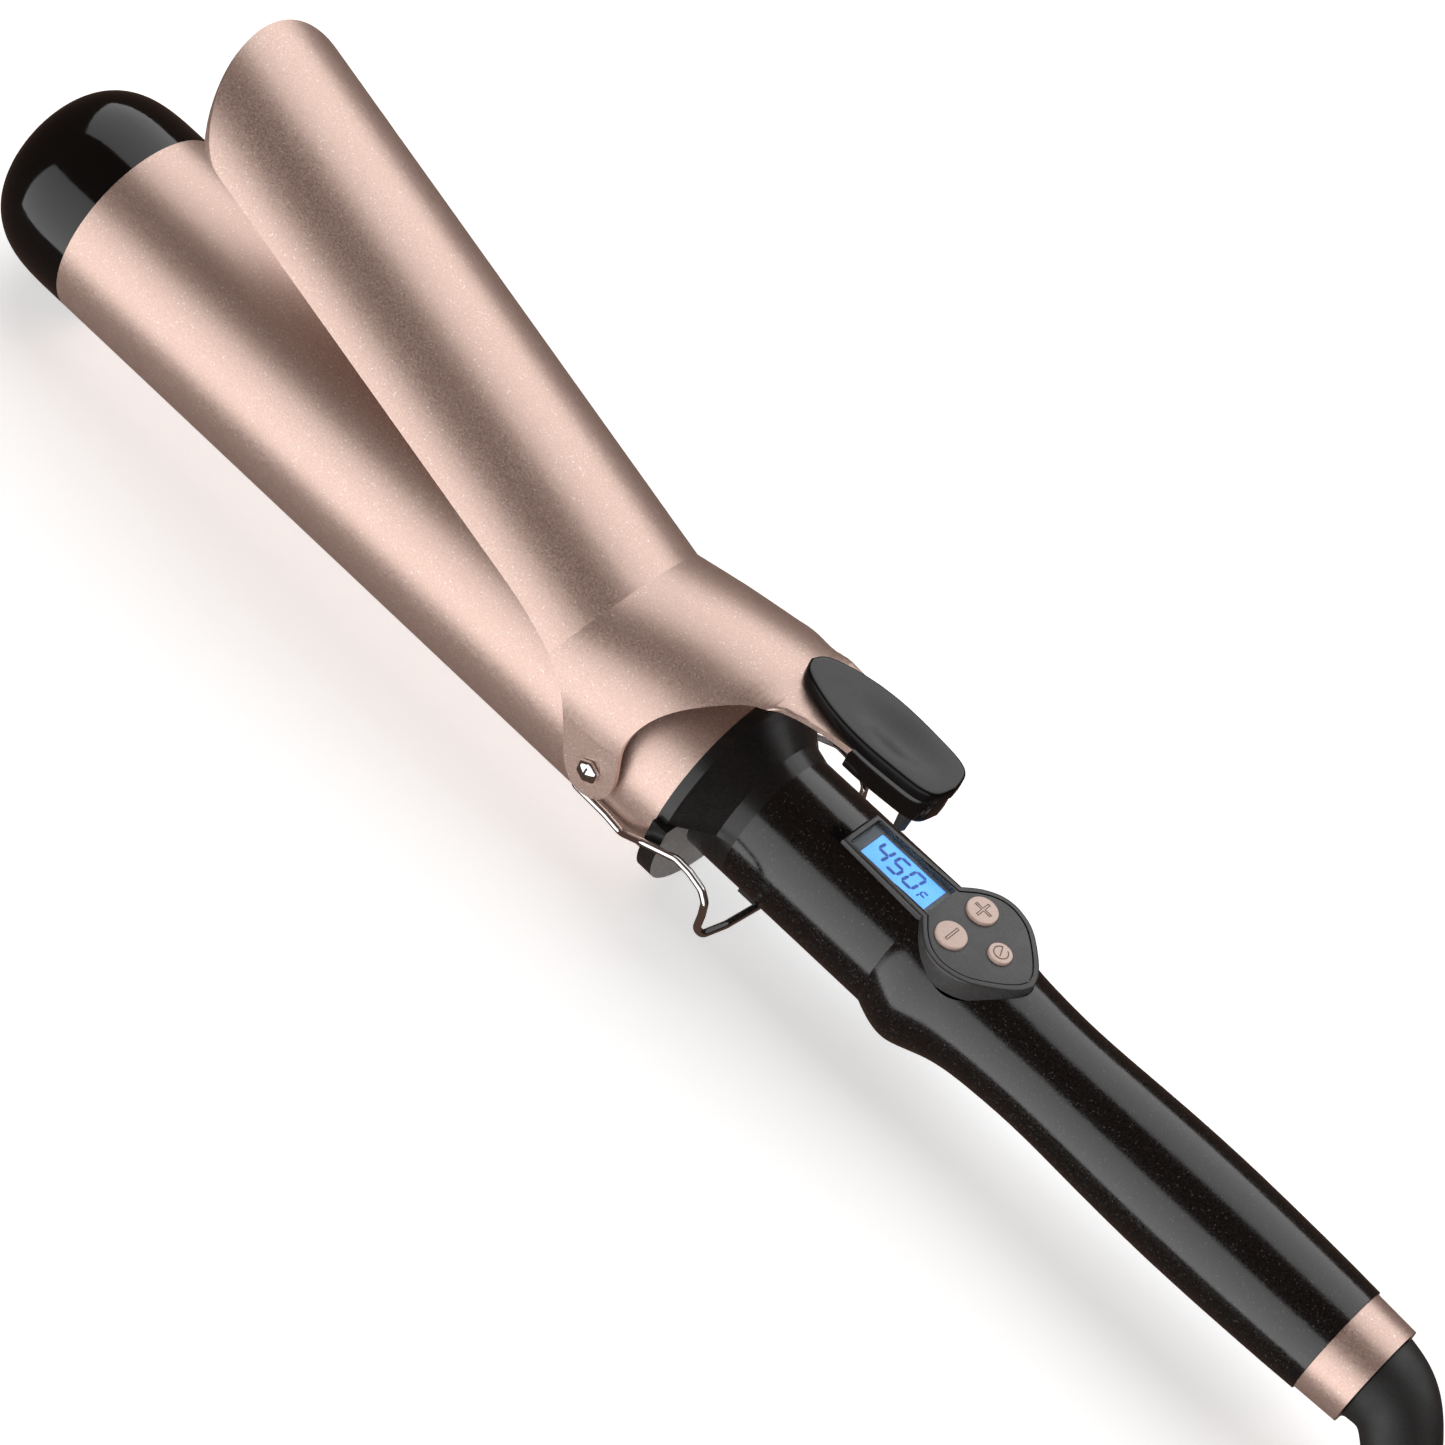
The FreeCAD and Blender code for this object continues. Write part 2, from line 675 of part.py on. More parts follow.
def boot_ring(distance, radius):
    point, along = boot_station(distance)
    return Part.Wire([Part.makeCircle(radius, point, along)])


bend_length = size("boot_bend_radius") * math.radians(size("boot_bend_angle"))
boot_length = bend_length + size("boot_straight")
BOOT_RADII = ((0.0, size("boot_root_radius")), (0.33, 10.2), (0.66, 9.4), (1.0, 8.8))
boot_sections = [boot_ring(share * bend_length, radius) for share, radius in BOOT_RADII]
boot_sections.append(boot_ring(bend_length + 12, 7.6))
boot_sections.append(boot_ring(bend_length + 23, 6.0))
boot_sections.append(boot_ring(boot_length, size("boot_end_radius")))
boot = Part.makeLoft(boot_sections, True, False)
for step in range(6):
    distance = bend_length + 3.0 + 4.2 * step
    point, along = boot_station(distance)
    local = 8.8 - 4.2 * step * (8.8 - size("boot_end_radius")) / size("boot_straight")
    boot = boot.cut(Part.makeTorus(local + 0.5, 0.9, point, along))
bore_start, bore_along = boot_station(bend_length)
straight_bore = Part.makeCylinder(
    size("cord_bore"), size("boot_straight") + 1, bore_start, bore_along)
bore_middle = boot_station(bend_length / 2)[0]
bore_arc = Part.Wire([Part.Arc(boot_station(0)[0], bore_middle, bore_start).toShape()])
bent_bore = bore_arc.makePipeShell([boot_ring(0, size("cord_bore"))], True, True)
boot = boot.cut(straight_bore).cut(bent_bore)
keep(shaped("strain_relief", boot), "strain_relief")

# ----------------------------------------------------------------- clamp lever
# The lever is drawn shut, hugging the barrel, and then turned open about its hinge.


def arch(x, half_width, spring, crest):
    """Elliptical top of one section."""
    points = []
    for step in range(13):
        turn = math.pi * step / 12
        rise = (crest - spring) * math.sin(turn)
        points.append((x, -half_width * math.cos(turn), spring + rise))
    return points


def sheet_section(x, half_width, spring, crest):
    """Closed section through the bent sheet, before its lower edge is trimmed."""
    outer = arch(x, half_width, spring, crest)
    inner = arch(x, half_width - thick, spring, crest - thick)
    inner.reverse()
    low_outer = (x, half_width, -LEVER_SKIRT)
    low_inner = (x, half_width - thick, -LEVER_SKIRT)
    right = polygon([outer[-1], low_outer, low_inner, inner[0]], False)
    left = polygon([
        inner[-1], (x, thick - half_width, -LEVER_SKIRT),
        (x, -half_width, -LEVER_SKIRT), outer[0]], False)
    return Part.Wire([spline(outer)] + right.Edges + [spline(inner)] + left.Edges)


LEVER_SKIRT = 14.0
thick = size("sheet_thickness")
EAR_X = 174.5
STATIONS = (
    (size("crease_x"), size("lever_radius"), 0.0, size("lever_radius")),
    (160.7, 27.2, 5.0, 34.9),
    (EAR_X, size("ear_half_width"), 12.0, 42.2),
    (187.0, 12.3, 46.0, 47.7),
    (217.1, 6.0, 56.9, 57.2),
)


def fine_stations(steps):
    """The stations with smoothly interpolated ones set between them."""
    fine = []
    last = len(STATIONS) - 1
    for i in range(last):
        around = [STATIONS[max(i - 1, 0)], STATIONS[i], STATIONS[i + 1], STATIONS[min(i + 2, last)]]
        for step in range(steps):
            share = step / steps
            fine.append(tuple(blend_value([a[k] for a in around], [a[0] for a in around], share)
                              for k in range(4)))
    fine.append(STATIONS[last])
    return fine


def blend_value(values, places, share):
    """Cubic through the middle two of four values, without overshoot."""
    span = places[2] - places[1]

    def slope(i, j):
        run = places[j] - places[i]
        return (values[j] - values[i]) / run if run else 0.0

    here = slope(1, 2)
    enter = slope(0, 1) if places[1] != places[0] else here
    leave = slope(2, 3) if places[3] != places[2] else here
    enter = 0.0 if enter * here <= 0 else 2 * enter * here / (enter + here)
    leave = 0.0 if leave * here <= 0 else 2 * leave * here / (leave + here)
    u = share
    return (values[1] * (1 + 2 * u) * (1 - u) ** 2 + values[2] * u * u * (3 - 2 * u)
            + span * enter * u * (1 - u) ** 2 - span * leave * u * u * (1 - u))


EDGE_LINE = [
    (130.0, 10.8), (143.0, 9.9), (151.0, 8.4), (156.0, 6.9), (160.0, 3.7),
    (164.7, -1.4), (168.8, -5.2), (173.2, -6.6), (177.6, -4.6), (179.6, -0.4),
    (178.6, 4.6), (174.2, 12.2), (172.4, 19.0), (173.2, 27.0), (178.0, 36.2),
    (187.0, 44.9), (200.0, 49.9), (217.6, 55.3)]
edge_curve = spline([(x, -60, z) for x, z in EDGE_LINE])
above = polygon([
    (217.6, -60, 55.3), (217.6, -60, 90), (-10, -60, 90),
    (-10, -60, size("lever_edge")), (130.0, -60, 10.8)], False)
keep_wire = Part.Wire(Part.__sortEdges__([edge_curve] + above.Edges))
side_region = Part.Face(keep_wire).extrude(FreeCAD.Vector(0, 120, 0))

tube_half_width = math.sqrt(size("lever_radius") ** 2 - size("lever_edge") ** 2)
front = size("lever_front")
depth = size("lever_front_depth")
TONGUE_START = 202.4
TONGUE_HALF = 6.2
NOSE_SHARES = (1.0, 0.93, 0.8, 0.6, 0.35, 0.12)
nose = []
for share in NOSE_SHARES:
    nose.append((front + depth * (1 - math.sqrt(1 - share ** 2)), -share * tube_half_width, -30))
nose.append((front, 0, -30))
for share in reversed(NOSE_SHARES):
    nose.append((front + depth * (1 - math.sqrt(1 - share ** 2)), share * tube_half_width, -30))
nose_curve = spline(nose)
nose_sides = polygon([
    nose[-1], (front + depth, 60, -30), (TONGUE_START, 60, -30),
    (TONGUE_START, TONGUE_HALF, -30), (230, TONGUE_HALF, -30),
    (230, -TONGUE_HALF, -30), (TONGUE_START, -TONGUE_HALF, -30),
    (TONGUE_START, -60, -30), (front + depth, -60, -30), nose[0]], False)
plan_wire = Part.Wire(Part.__sortEdges__([nose_curve] + nose_sides.Edges))
plan_region = Part.Face(plan_wire).extrude(FreeCAD.Vector(0, 0, 130))

region = side_region.common(plan_region)
sections = fine_stations(8)
shoulders = [s for s in sections if s[0] <= EAR_X]
bridge = [s for s in sections if s[0] >= EAR_X]
front_tail = Part.makeLoft([sheet_section(*s) for s in shoulders], True, True)
rear_tail = Part.makeLoft([sheet_section(*s) for s in bridge], True, True)
above_ears = Part.makeBox(80, 80, 80, FreeCAD.Vector(EAR_X, -40, 20))
ear_plates = []
for side in (1, -1):
    outside = side * size("ear_half_width")
    inside = outside - side * thick
    low_corner = FreeCAD.Vector(EAR_X, min(outside, inside), -LEVER_SKIRT)
    ear_plates.append(Part.makeBox(8, thick, LEVER_SKIRT + 14, low_corner))
tail = front_tail.multiFuse([rear_tail.common(above_ears)] + ear_plates)
tube_section = sheet_section(-5.0, size("lever_radius"), 0.0, size("lever_radius"))
tube = Part.Face(tube_section).extrude(FreeCAD.Vector(size("crease_x") + 5.0, 0, 0))
lever = tube.common(region).fuse(tail.common(region))
ear_bore = Part.makeCylinder(
    size("ear_hole"), 80, FreeCAD.Vector(size("hinge_x"), -40, size("hinge_z")),
    FreeCAD.Vector(0, 1, 0))
lever = lever.cut(ear_bore)
clamp_lever = keep(shaped("clamp_lever", lever), "clamp_lever")

# Pivot posts in the tube wall and the shouldered screws that carry the ears.
posts = []
screws = []


def hinge_spot(y):
    return FreeCAD.Vector(size("hinge_x"), side * y, size("hinge_z"))


for side in (1, -1):
    outward = FreeCAD.Vector(0, side, 0)
    post = Part.makeCylinder(size("post_radius"), size("post_face") - 21, hinge_spot(21), outward)
    posts.append(post.cut(Part.makeCylinder(1.4, 8, hinge_spot(20), outward)))
    shoulder_end = size("ear_half_width") + 0.1
    screw = Part.makeCylinder(1.38, 5.5, hinge_spot(size("post_face") - 5.5), outward)
    shoulder = Part.makeCylinder(
        size("screw_shoulder"), shoulder_end - size("post_face"),
        hinge_spot(size("post_face")), outward)
    head = Part.makeCylinder(
        size("screw_head"), size("screw_head_height"), hinge_spot(shoulder_end), outward)
    head_top = shoulder_end + size("screw_head_height")
    screw = screw.fuse(shoulder).fuse(head)
    for length, width in ((4.4, 0.8), (0.8, 4.4)):
        low_y = head_top - 0.9 if side > 0 else -head_top - 0.1
        corner = FreeCAD.Vector(size("hinge_x") - length / 2, low_y, size("hinge_z") - width / 2)
        screw = screw.cut(Part.makeBox(length, 1.0, width, corner))
    screws.append(screw)
keep(shaped("pivot_posts", Part.makeCompound(posts)), "pivot_posts")
keep(shaped("pivot_screws", Part.makeCompound(screws)), "pivot_screws")

# Leaf spring on the barrel, pressed down by the tail while the clamp is open.
spring_line = [(152.0, 25.02), (158.0, 25.02), (164.0, 25.9), (172.0, 30.5),
               (180.0, 35.2), (186.0, 37.4)]
SPRING_THICK = 0.6
upper_line = spline([(x, -4, z + SPRING_THICK) for x, z in spring_line])
lower_line = spline([(x, -4, z) for x, z in spring_line])
first, last = spring_line[0], spring_line[-1]
front_end = polygon([(first[0], -4, first[1]), (first[0], -4, first[1] + SPRING_THICK)], False)
back_end = polygon([(last[0], -4, last[1]), (last[0], -4, last[1] + SPRING_THICK)], False)
spring_edges = [upper_line, lower_line] + front_end.Edges + back_end.Edges
spring_face = Part.Face(Part.Wire(Part.__sortEdges__(spring_edges)))
spring = spring_face.extrude(FreeCAD.Vector(0, 8, 0))
keep(shaped("clamp_spring", spring), "clamp_spring")

# ------------------------------------------------------------------ thumb rest
SLOT_FLOOR = 39.2
REST_HALF = [
    (195.5, 0.0), (197.2, 3.4), (202.5, 6.1), (210.0, 8.0), (218.0, 8.6),
    (227.0, 8.1), (233.5, 7.2), (236.6, 5.0), (237.8, 0.0)]


def rest_prism(grow, low, high):
    """Almond outline of the thumb rest as an upright prism."""
    lower_half = [(x, -y) for x, y in REST_HALF]
    upper_half = [(x, y) for x, y in reversed(REST_HALF[1:-1])]
    around = lower_half + upper_half
    closed = [around[-1]] + around + [around[0]]
    moved_points = [(x, y, low) for x, y in grown(closed, grow)[1:-1]]
    curve = Part.BSplineCurve()
    curve.interpolate([FreeCAD.Vector(*p) for p in moved_points], True)
    wire = Part.Wire([curve.toShape()])
    return Part.Face(wire).extrude(FreeCAD.Vector(0, 0, high - low))


rest_top = size("rest_top")
rest_low = rest_top - size("rest_thickness")
paddle = rest_prism(0, rest_low, rest_top)
block = rest_prism(-0.7, size("rest_block_bottom"), rest_top - 1)
block_room = Part.makeBox(
    40, 40, 40, FreeCAD.Vector(size("rest_block_front") - 40, -20, rest_low - 40))
paddle = paddle.fuse(block.cut(block_room))
slot_low = FreeCAD.Vector(190, -TONGUE_HALF - 0.2, SLOT_FLOOR)
paddle = paddle.cut(Part.makeBox(
    44, 2 * TONGUE_HALF + 0.4, rest_low - SLOT_FLOOR, slot_low))
dish = Part.makeSphere(1.0)
dish_scale = FreeCAD.Matrix()
dish_scale.A11 = 12.0
dish_scale.A22 = 6.0
dish_scale.A33 = 1.3
dish_scale.A14 = 221.0
dish_scale.A34 = rest_top
paddle = paddle.cut(dish.transformGeometry(dish_scale))
REST_SCREWS = (221.0, 229.0)
rest_screws = []
for x in REST_SCREWS:
    foot = FreeCAD.Vector(x, 0, size("rest_block_bottom"))
    paddle = paddle.cut(Part.makeCylinder(1.4, 8.4, foot, up))
    paddle = paddle.cut(Part.makeCylinder(2.6, 2.2, foot, up))
    shank = Part.makeCylinder(1.3, 7.6, FreeCAD.Vector(x, 0, foot.z + 0.6), up)
    head = Part.makeCylinder(2.4, 1.5, FreeCAD.Vector(x, 0, foot.z + 0.6), up)
    rest_screws.append(shank.fuse(head))
keep(shaped("thumb_rest", paddle.removeSplitter()), "thumb_rest")
keep(shaped("thumb_rest_screws", Part.makeCompound(rest_screws)), "thumb_rest_screws")
bumper_top = FreeCAD.Vector(231.8, -2.0, size("rest_block_bottom"))
lever_bumper = Part.makeCone(1.9, 1.4, 7.6, bumper_top, FreeCAD.Vector(0, 0, -1))
keep(shaped("lever_bumper", lever_bumper), "lever_bumper")

# The screws of the thumb rest pass through the end of the tail.
opened = FreeCAD.Placement(
    FreeCAD.Vector(0, 0, 0), FreeCAD.Rotation(FreeCAD.Vector(0, 1, 0), size("open_angle")),
    FreeCAD.Vector(size("hinge_x"), 0, size("hinge_z")))
for x in REST_SCREWS:
    through = Part.makeCylinder(1.4, 8.0, FreeCAD.Vector(x, 0, 36.0), up)
    through.Placement = opened.inverse().multiply(through.Placement)
    lever = lever.cut(through)
clamp_lever.Shape = lever

# ------------------------------------------------------------------ wire stand
leg = [
    (size("stand_x"), 21.5, size("stand_z")),
    (size("stand_x"), 25.25, size("stand_z")),
    (180.0, 25.35, -8.6),
    (185.2, 25.8, -8.9),
    (191.6, 28.5, -3.4),
    (200.6, 28.7, 0.6),
    (204.6, 28.7, 0.3),
    (208.9, 28.7, -1.1),
    (211.0, 28.7, -3.6),
    (211.7, 28.6, -7.4),
    (212.0, 28.5, -11.8),
    (213.4, 27.3, -13.4),
    (214.6, 20.0, -14.2),
    (214.8, 9.0, -16.2),
]
stand_line = [(x, -y, z) for x, y, z in leg]
stand_line.append((214.8, 0, -18.2))
stand_line = stand_line + list(reversed(leg))
keep(shaped("stand_wire", pipe(stand_line, size("wire_radius"), 3.0)), "stand_wire")

# --------------------------------------------------------- place, check, export
doc.recompute()
for made in subparts:
    if made is clamp_lever:
        made.Placement = opened
doc.recompute()
whole = Part.makeCompound([made.Shape for made in subparts]).optimalBoundingBox(True, False)
shift = FreeCAD.Vector(-(whole.XMin + whole.XMax) / 2, -(whole.YMin + whole.YMax) / 2, -whole.ZMin)
moved = FreeCAD.Placement(shift, FreeCAD.Rotation())
for made in subparts:
    made.Placement = moved.multiply(made.Placement)
doc.recompute()
print("SHIFT", round(shift.x, 4), round(shift.y, 4), round(shift.z, 4))

faults = []
for item in doc.Objects:
    if "Invalid" in item.State or "Error" in item.State:
        faults.append(item.Name)
for made in subparts:
    if made.Shape.isNull() or not made.Shape.isValid() or not made.Shape.Solids:
        faults.append(made.Label)
if faults:
    raise RuntimeError("not usable: " + ", ".join(faults))
for made in subparts:
    made.Shape.exportStep("parts/%s.step" % made.Label)
    span = made.Shape.BoundBox
    print(made.Label, len(made.Shape.Solids), "solids",
          [round(v, 1) for v in (span.XMin, span.YMin, span.ZMin, span.XMax, span.YMax, span.ZMax)])
print("WHOLE", round(whole.XLength, 2), round(whole.YLength, 2), round(whole.ZLength, 2))
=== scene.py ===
from collections import namedtuple
import math

import bmesh
import bpy
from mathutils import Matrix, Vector


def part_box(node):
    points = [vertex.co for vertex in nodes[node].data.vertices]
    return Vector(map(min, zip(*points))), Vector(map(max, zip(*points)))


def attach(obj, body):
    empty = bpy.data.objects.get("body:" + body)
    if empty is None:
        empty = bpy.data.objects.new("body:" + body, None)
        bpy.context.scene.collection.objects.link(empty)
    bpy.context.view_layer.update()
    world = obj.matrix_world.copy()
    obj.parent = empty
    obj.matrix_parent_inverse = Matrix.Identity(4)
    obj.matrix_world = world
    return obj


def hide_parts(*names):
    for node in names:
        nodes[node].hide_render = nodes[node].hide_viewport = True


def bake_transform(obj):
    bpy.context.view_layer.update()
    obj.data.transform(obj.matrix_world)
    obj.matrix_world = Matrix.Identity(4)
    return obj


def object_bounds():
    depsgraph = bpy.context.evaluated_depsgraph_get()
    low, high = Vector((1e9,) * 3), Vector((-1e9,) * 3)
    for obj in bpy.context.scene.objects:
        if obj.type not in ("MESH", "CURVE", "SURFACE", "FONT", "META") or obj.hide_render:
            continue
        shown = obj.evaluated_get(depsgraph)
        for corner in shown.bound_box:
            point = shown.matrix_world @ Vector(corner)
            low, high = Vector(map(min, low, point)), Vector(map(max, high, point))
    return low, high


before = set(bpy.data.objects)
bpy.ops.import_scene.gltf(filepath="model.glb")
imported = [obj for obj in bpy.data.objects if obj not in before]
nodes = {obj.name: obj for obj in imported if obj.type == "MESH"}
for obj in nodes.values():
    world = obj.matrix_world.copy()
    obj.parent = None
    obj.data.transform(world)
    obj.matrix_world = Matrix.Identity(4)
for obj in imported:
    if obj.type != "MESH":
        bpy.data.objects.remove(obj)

cad_low, cad_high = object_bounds()
scene = bpy.context.scene
scene.view_settings.view_transform = "Standard"
MM = 0.001
SMOOTH_ANGLE = 32
barrel_low, barrel_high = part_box("barrel_tube")
JOINT_X = barrel_low.x
AXIS_Z = (barrel_low.z + barrel_high.z) / 2


def spot(x, y, z):
    """A place given in mm from the barrel's front end, on its axis."""
    return Vector((JOINT_X + x * MM, y * MM, AXIS_Z + z * MM))


Box = namedtuple("Box", "x0 y0 z0 x1 y1 z1")


def mm_box(node):
    """A node's box to a tenth of a mm, in the places that spot() takes."""
    corners = [(corner - spot(0, 0, 0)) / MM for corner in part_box(node)]
    return Box(*[round(value, 1) for corner in corners for value in corner])


# ------------------------------------------------------------------ camera
camera_data = bpy.data.cameras.new("camera")
camera_data.sensor_width = 36.0
camera_data.lens = 109.08
camera_data.clip_start = 0.05
camera_data.clip_end = 20.0
camera = bpy.data.objects.new("camera", camera_data)
scene.collection.objects.link(camera)
camera.location = spot(421.5117, -630.4093, 689.8448)
camera.rotation_euler = [math.radians(a) for a in (41.25806, -19.22118, 41.17865)]
scene.camera = camera

# ------------------------------------------------------------------ stage


def new_object(name, mesh):
    """Puts a mesh into the scene."""
    made = bpy.data.objects.new(name, mesh)
    scene.collection.objects.link(made)
    return made


def soft_panel(name, place, target, width, height, top_glow, foot_glow):
    """Glowing studio panel, unseen by the camera, with a strength at its top and its foot."""
    bm = bmesh.new()
    corners = [(-width, -height), (width, -height), (width, height), (-width, height)]
    bm.faces.new([bm.verts.new((x / 2, y / 2, 0)) for x, y in corners])
    mesh = bpy.data.meshes.new(name)
    bm.to_mesh(mesh)
    bm.free()
    made = new_object(name, mesh)
    made.location = place
    aim = Vector(target) - Vector(place)
    made.rotation_euler = aim.to_track_quat("Z", "Y").to_euler()
    made.visible_camera = False
    made.visible_shadow = False
    glow = bpy.data.materials.new(name)
    glow.use_nodes = True
    tree = glow.node_tree
    tree.nodes.clear()
    emit = tree.nodes.new("ShaderNodeEmission")
    out = tree.nodes.new("ShaderNodeOutputMaterial")
    tree.links.new(emit.outputs["Emission"], out.inputs["Surface"])
    place_node = tree.nodes.new("ShaderNodeTexCoord")
    split = tree.nodes.new("ShaderNodeSeparateXYZ")
    ramp = tree.nodes.new("ShaderNodeMapRange")
    tree.links.new(place_node.outputs["Object"], split.inputs["Vector"])
    tree.links.new(split.outputs["Y"], ramp.inputs["Value"])
    ramp.inputs["From Min"].default_value = height / 2
    ramp.inputs["From Max"].default_value = -height / 2
    ramp.inputs["To Min"].default_value = top_glow
    ramp.inputs["To Max"].default_value = foot_glow
    tree.links.new(ramp.outputs["Result"], emit.inputs["Strength"])
    mesh.materials.append(glow)
    return made


FLOOR_HALF = 6.0
FLOOR_GAP = 0.0004


def lay_floor():
    """Wide plane just under the object."""
    bm = bmesh.new()
    half = FLOOR_HALF
    corners = [(-half, -half), (half, -half), (half, half), (-half, half)]
    bm.faces.new([bm.verts.new((x, y, cad_low.z - FLOOR_GAP)) for x, y in corners])
    mesh = bpy.data.meshes.new("floor")
    bm.to_mesh(mesh)
    bm.free()
    floor = new_object("floor", mesh)
    return floor


# ------------------------------------------------------------------ materials


class Look:
    """One procedural material with its noise layers."""

    def __init__(self, name):
        self.material = bpy.data.materials.new(name)
        self.material.use_nodes = True
        self.tree = self.material.node_tree
        self.shader = self.tree.nodes["Principled BSDF"]
        outputs = self.tree.nodes.new("ShaderNodeTexCoord").outputs
        self.place, self.facing = outputs["Object"], outputs["Normal"]

    def node(self, kind, **values):
        made = self.tree.nodes.new(kind)
        for key, value in values.items():
            setattr(made, key, value)
        return made

    def link(self, source, target):
        self.tree.links.new(source, target)

    def noise(self, size, detail=2.0):
        """Noise whose grains are about size metres across."""
        made = self.node("ShaderNodeTexNoise")
        made.inputs["Scale"].default_value = 1.0 / size
        made.inputs["Detail"].default_value = detail
        self.link(self.place, made.inputs["Vector"])
        return made.outputs["Fac"]

    def flecks(self, size, share):
        """A share of tiny cells lights up."""
        made = self.node("ShaderNodeTexVoronoi")
        made.inputs["Scale"].default_value = 1.0 / size
        self.link(self.place, made.inputs["Vector"])
        pick = self.node("ShaderNodeSeparateColor")
        self.link(made.outputs["Color"], pick.inputs["Color"])
        return self.span(pick.outputs["Red"], 1.0 - share, 1.0)

    def span(self, source, low, high, to_low=0.0, to_high=1.0):
        """Maps low..high to to_low..to_high."""
        made = self.node("ShaderNodeMapRange")
        self.link(source, made.inputs["Value"])
        made.inputs["From Min"].default_value = low
        made.inputs["From Max"].default_value = high
        made.inputs["To Min"].default_value = to_low
        made.inputs["To Max"].default_value = to_high
        return made.outputs["Result"]

    def axes(self, source):
        """The X, Y and Z of a vector."""
        made = self.node("ShaderNodeSeparateXYZ")
        self.link(source, made.inputs["Vector"])
        return made.outputs

    def mix(self, factor, first, second):
        made = self.node("ShaderNodeMix", data_type="RGBA")
        self.link(factor, made.inputs["Factor"])
        for socket, value in ((made.inputs["A"], first), (made.inputs["B"], second)):
            if isinstance(value, tuple):
                socket.default_value = (*value, 1.0)
            else:
                self.link(value, socket)
        return made.outputs["Result"]

    def colour(self, source):
        self.link(source, self.shader.inputs["Base Color"])

    def roughness(self, source):
        self.link(source, self.shader.inputs["Roughness"])

    def relief(self, source, depth, strength):
        made = self.node("ShaderNodeBump")
        made.inputs["Distance"].default_value = depth
        made.inputs["Strength"].default_value = strength
        self.link(source, made.inputs["Height"])
        self.link(made.outputs["Normal"], self.shader.inputs["Normal"])

    def fixed(self, **values):
        for name, value in values.items():
            self.shader.inputs[name.replace("_", " ")].default_value = value


def grey(tone):
    return (tone, tone, tone)


def rose_metal():
    """Rose-gold paint with metal flakes."""
    look = Look("rose_metal")
    grain = look.noise(0.00045, 3.0)
    cloud = look.noise(0.03, 3.0)
    base = look.mix(look.span(grain, 0.3, 0.7), (0.57, 0.40, 0.34), (0.74, 0.56, 0.49))
    worn = look.mix(look.span(cloud, 0.35, 0.75, 0.0, 0.25), base, (0.62, 0.43, 0.36))
    glint = look.mix(look.flecks(0.0003, 0.04), worn, (0.86, 0.74, 0.68))
    look.colour(glint)
    look.roughness(look.span(grain, 0.25, 0.75, 0.33, 0.47))
    look.relief(look.noise(0.0005, 2.0), 0.00003, 0.5)
    look.fixed(Metallic=0.85, Coat_Weight=0.1, Coat_Roughness=0.3)
    return look.material


def sparkle_black():
    """Black lacquer with fine glitter."""
    look = Look("sparkle_black")
    grain = look.noise(0.0004, 2.0)
    base = look.mix(look.span(grain, 0.35, 0.7), grey(0.001), grey(0.008))
    look.colour(look.mix(look.flecks(0.0003, 0.05), base, (0.05, 0.049, 0.048)))
    look.roughness(look.span(grain, 0.3, 0.7, 0.10, 0.24))
    look.relief(grain, 0.00002, 0.3)
    look.fixed(Specular_IOR_Level=0.75)
    return look.material


def gloss_black(name, rough=0.06, tone=0.002):
    look = Look(name)
    cloud = look.noise(0.012, 3.0)
    look.colour(look.mix(cloud, grey(tone), grey(tone * 2)))
    look.roughness(look.span(look.noise(0.002, 4.0), 0.3, 0.8, rough, rough + 0.06))
    look.relief(look.noise(0.004, 2.0), 0.00001, 0.3)
    return look.material


def matte_plastic(name, dark, light, rough=0.42, grain_size=0.0005):
    look = Look(name)
    grain = look.noise(grain_size, 3.0)
    look.colour(look.mix(look.span(grain, 0.3, 0.7), dark, light))
    look.roughness(look.span(look.noise(0.006, 3.0), 0.3, 0.7, rough - 0.06, rough + 0.08))
    look.relief(grain, 0.00002, 0.3)
    return look.material


def bright_metal(name, dark, light, rough):
    look = Look(name)
    look.colour(look.mix(look.noise(0.002, 4.0), dark, light))
    look.roughness(look.span(look.noise(0.0008, 3.0), 0.3, 0.7, rough, rough + 0.08))
    look.relief(look.noise(0.0015, 2.0), 0.00001, 0.2)
    look.fixed(Metallic=1.0)
    return look.material


def lit_panel():
    look = Look("lit_blue")
    glow = look.mix(look.noise(0.006, 1.0), (0.07, 0.36, 0.92), (0.16, 0.50, 1.0))
    look.colour(glow)
    look.link(glow, look.shader.inputs["Emission Color"])
    look.fixed(Emission_Strength=0.9, Roughness=0.3)
    return look.material


def clear_lens():
    look = Look("clear_lens")
    look.colour(look.mix(look.noise(0.01, 2.0), (0.96, 0.98, 1.0), (0.90, 0.95, 1.0)))
    look.roughness(look.span(look.noise(0.003, 3.0), 0.3, 0.7, 0.02, 0.06))
    look.fixed(Transmission_Weight=1.0, IOR=1.15)
    return look.material


def rest_black():
    """Satin top; the sides are painted darker as painted shade, and they also shine less."""
    look = Look("rest_black")
    grain = look.noise(0.0005, 3.0)
    unshaded_top_mask = look.span(look.axes(look.facing)["Z"], 0.75, 0.95)
    top = look.mix(look.span(grain, 0.3, 0.7), grey(0.016), grey(0.024))
    # Painted shade: faces that do not point up get a near-black grey instead of the top's tone.
    look.colour(look.mix(unshaded_top_mask, grey(0.003), top))
    look.link(look.span(unshaded_top_mask, 0.0, 1.0, 0.18, 0.5), look.shader.inputs["Specular IOR Level"])
    look.roughness(look.span(look.noise(0.006, 3.0), 0.3, 0.7, 0.18, 0.32))
    look.relief(grain, 0.00002, 0.3)
    return look.material


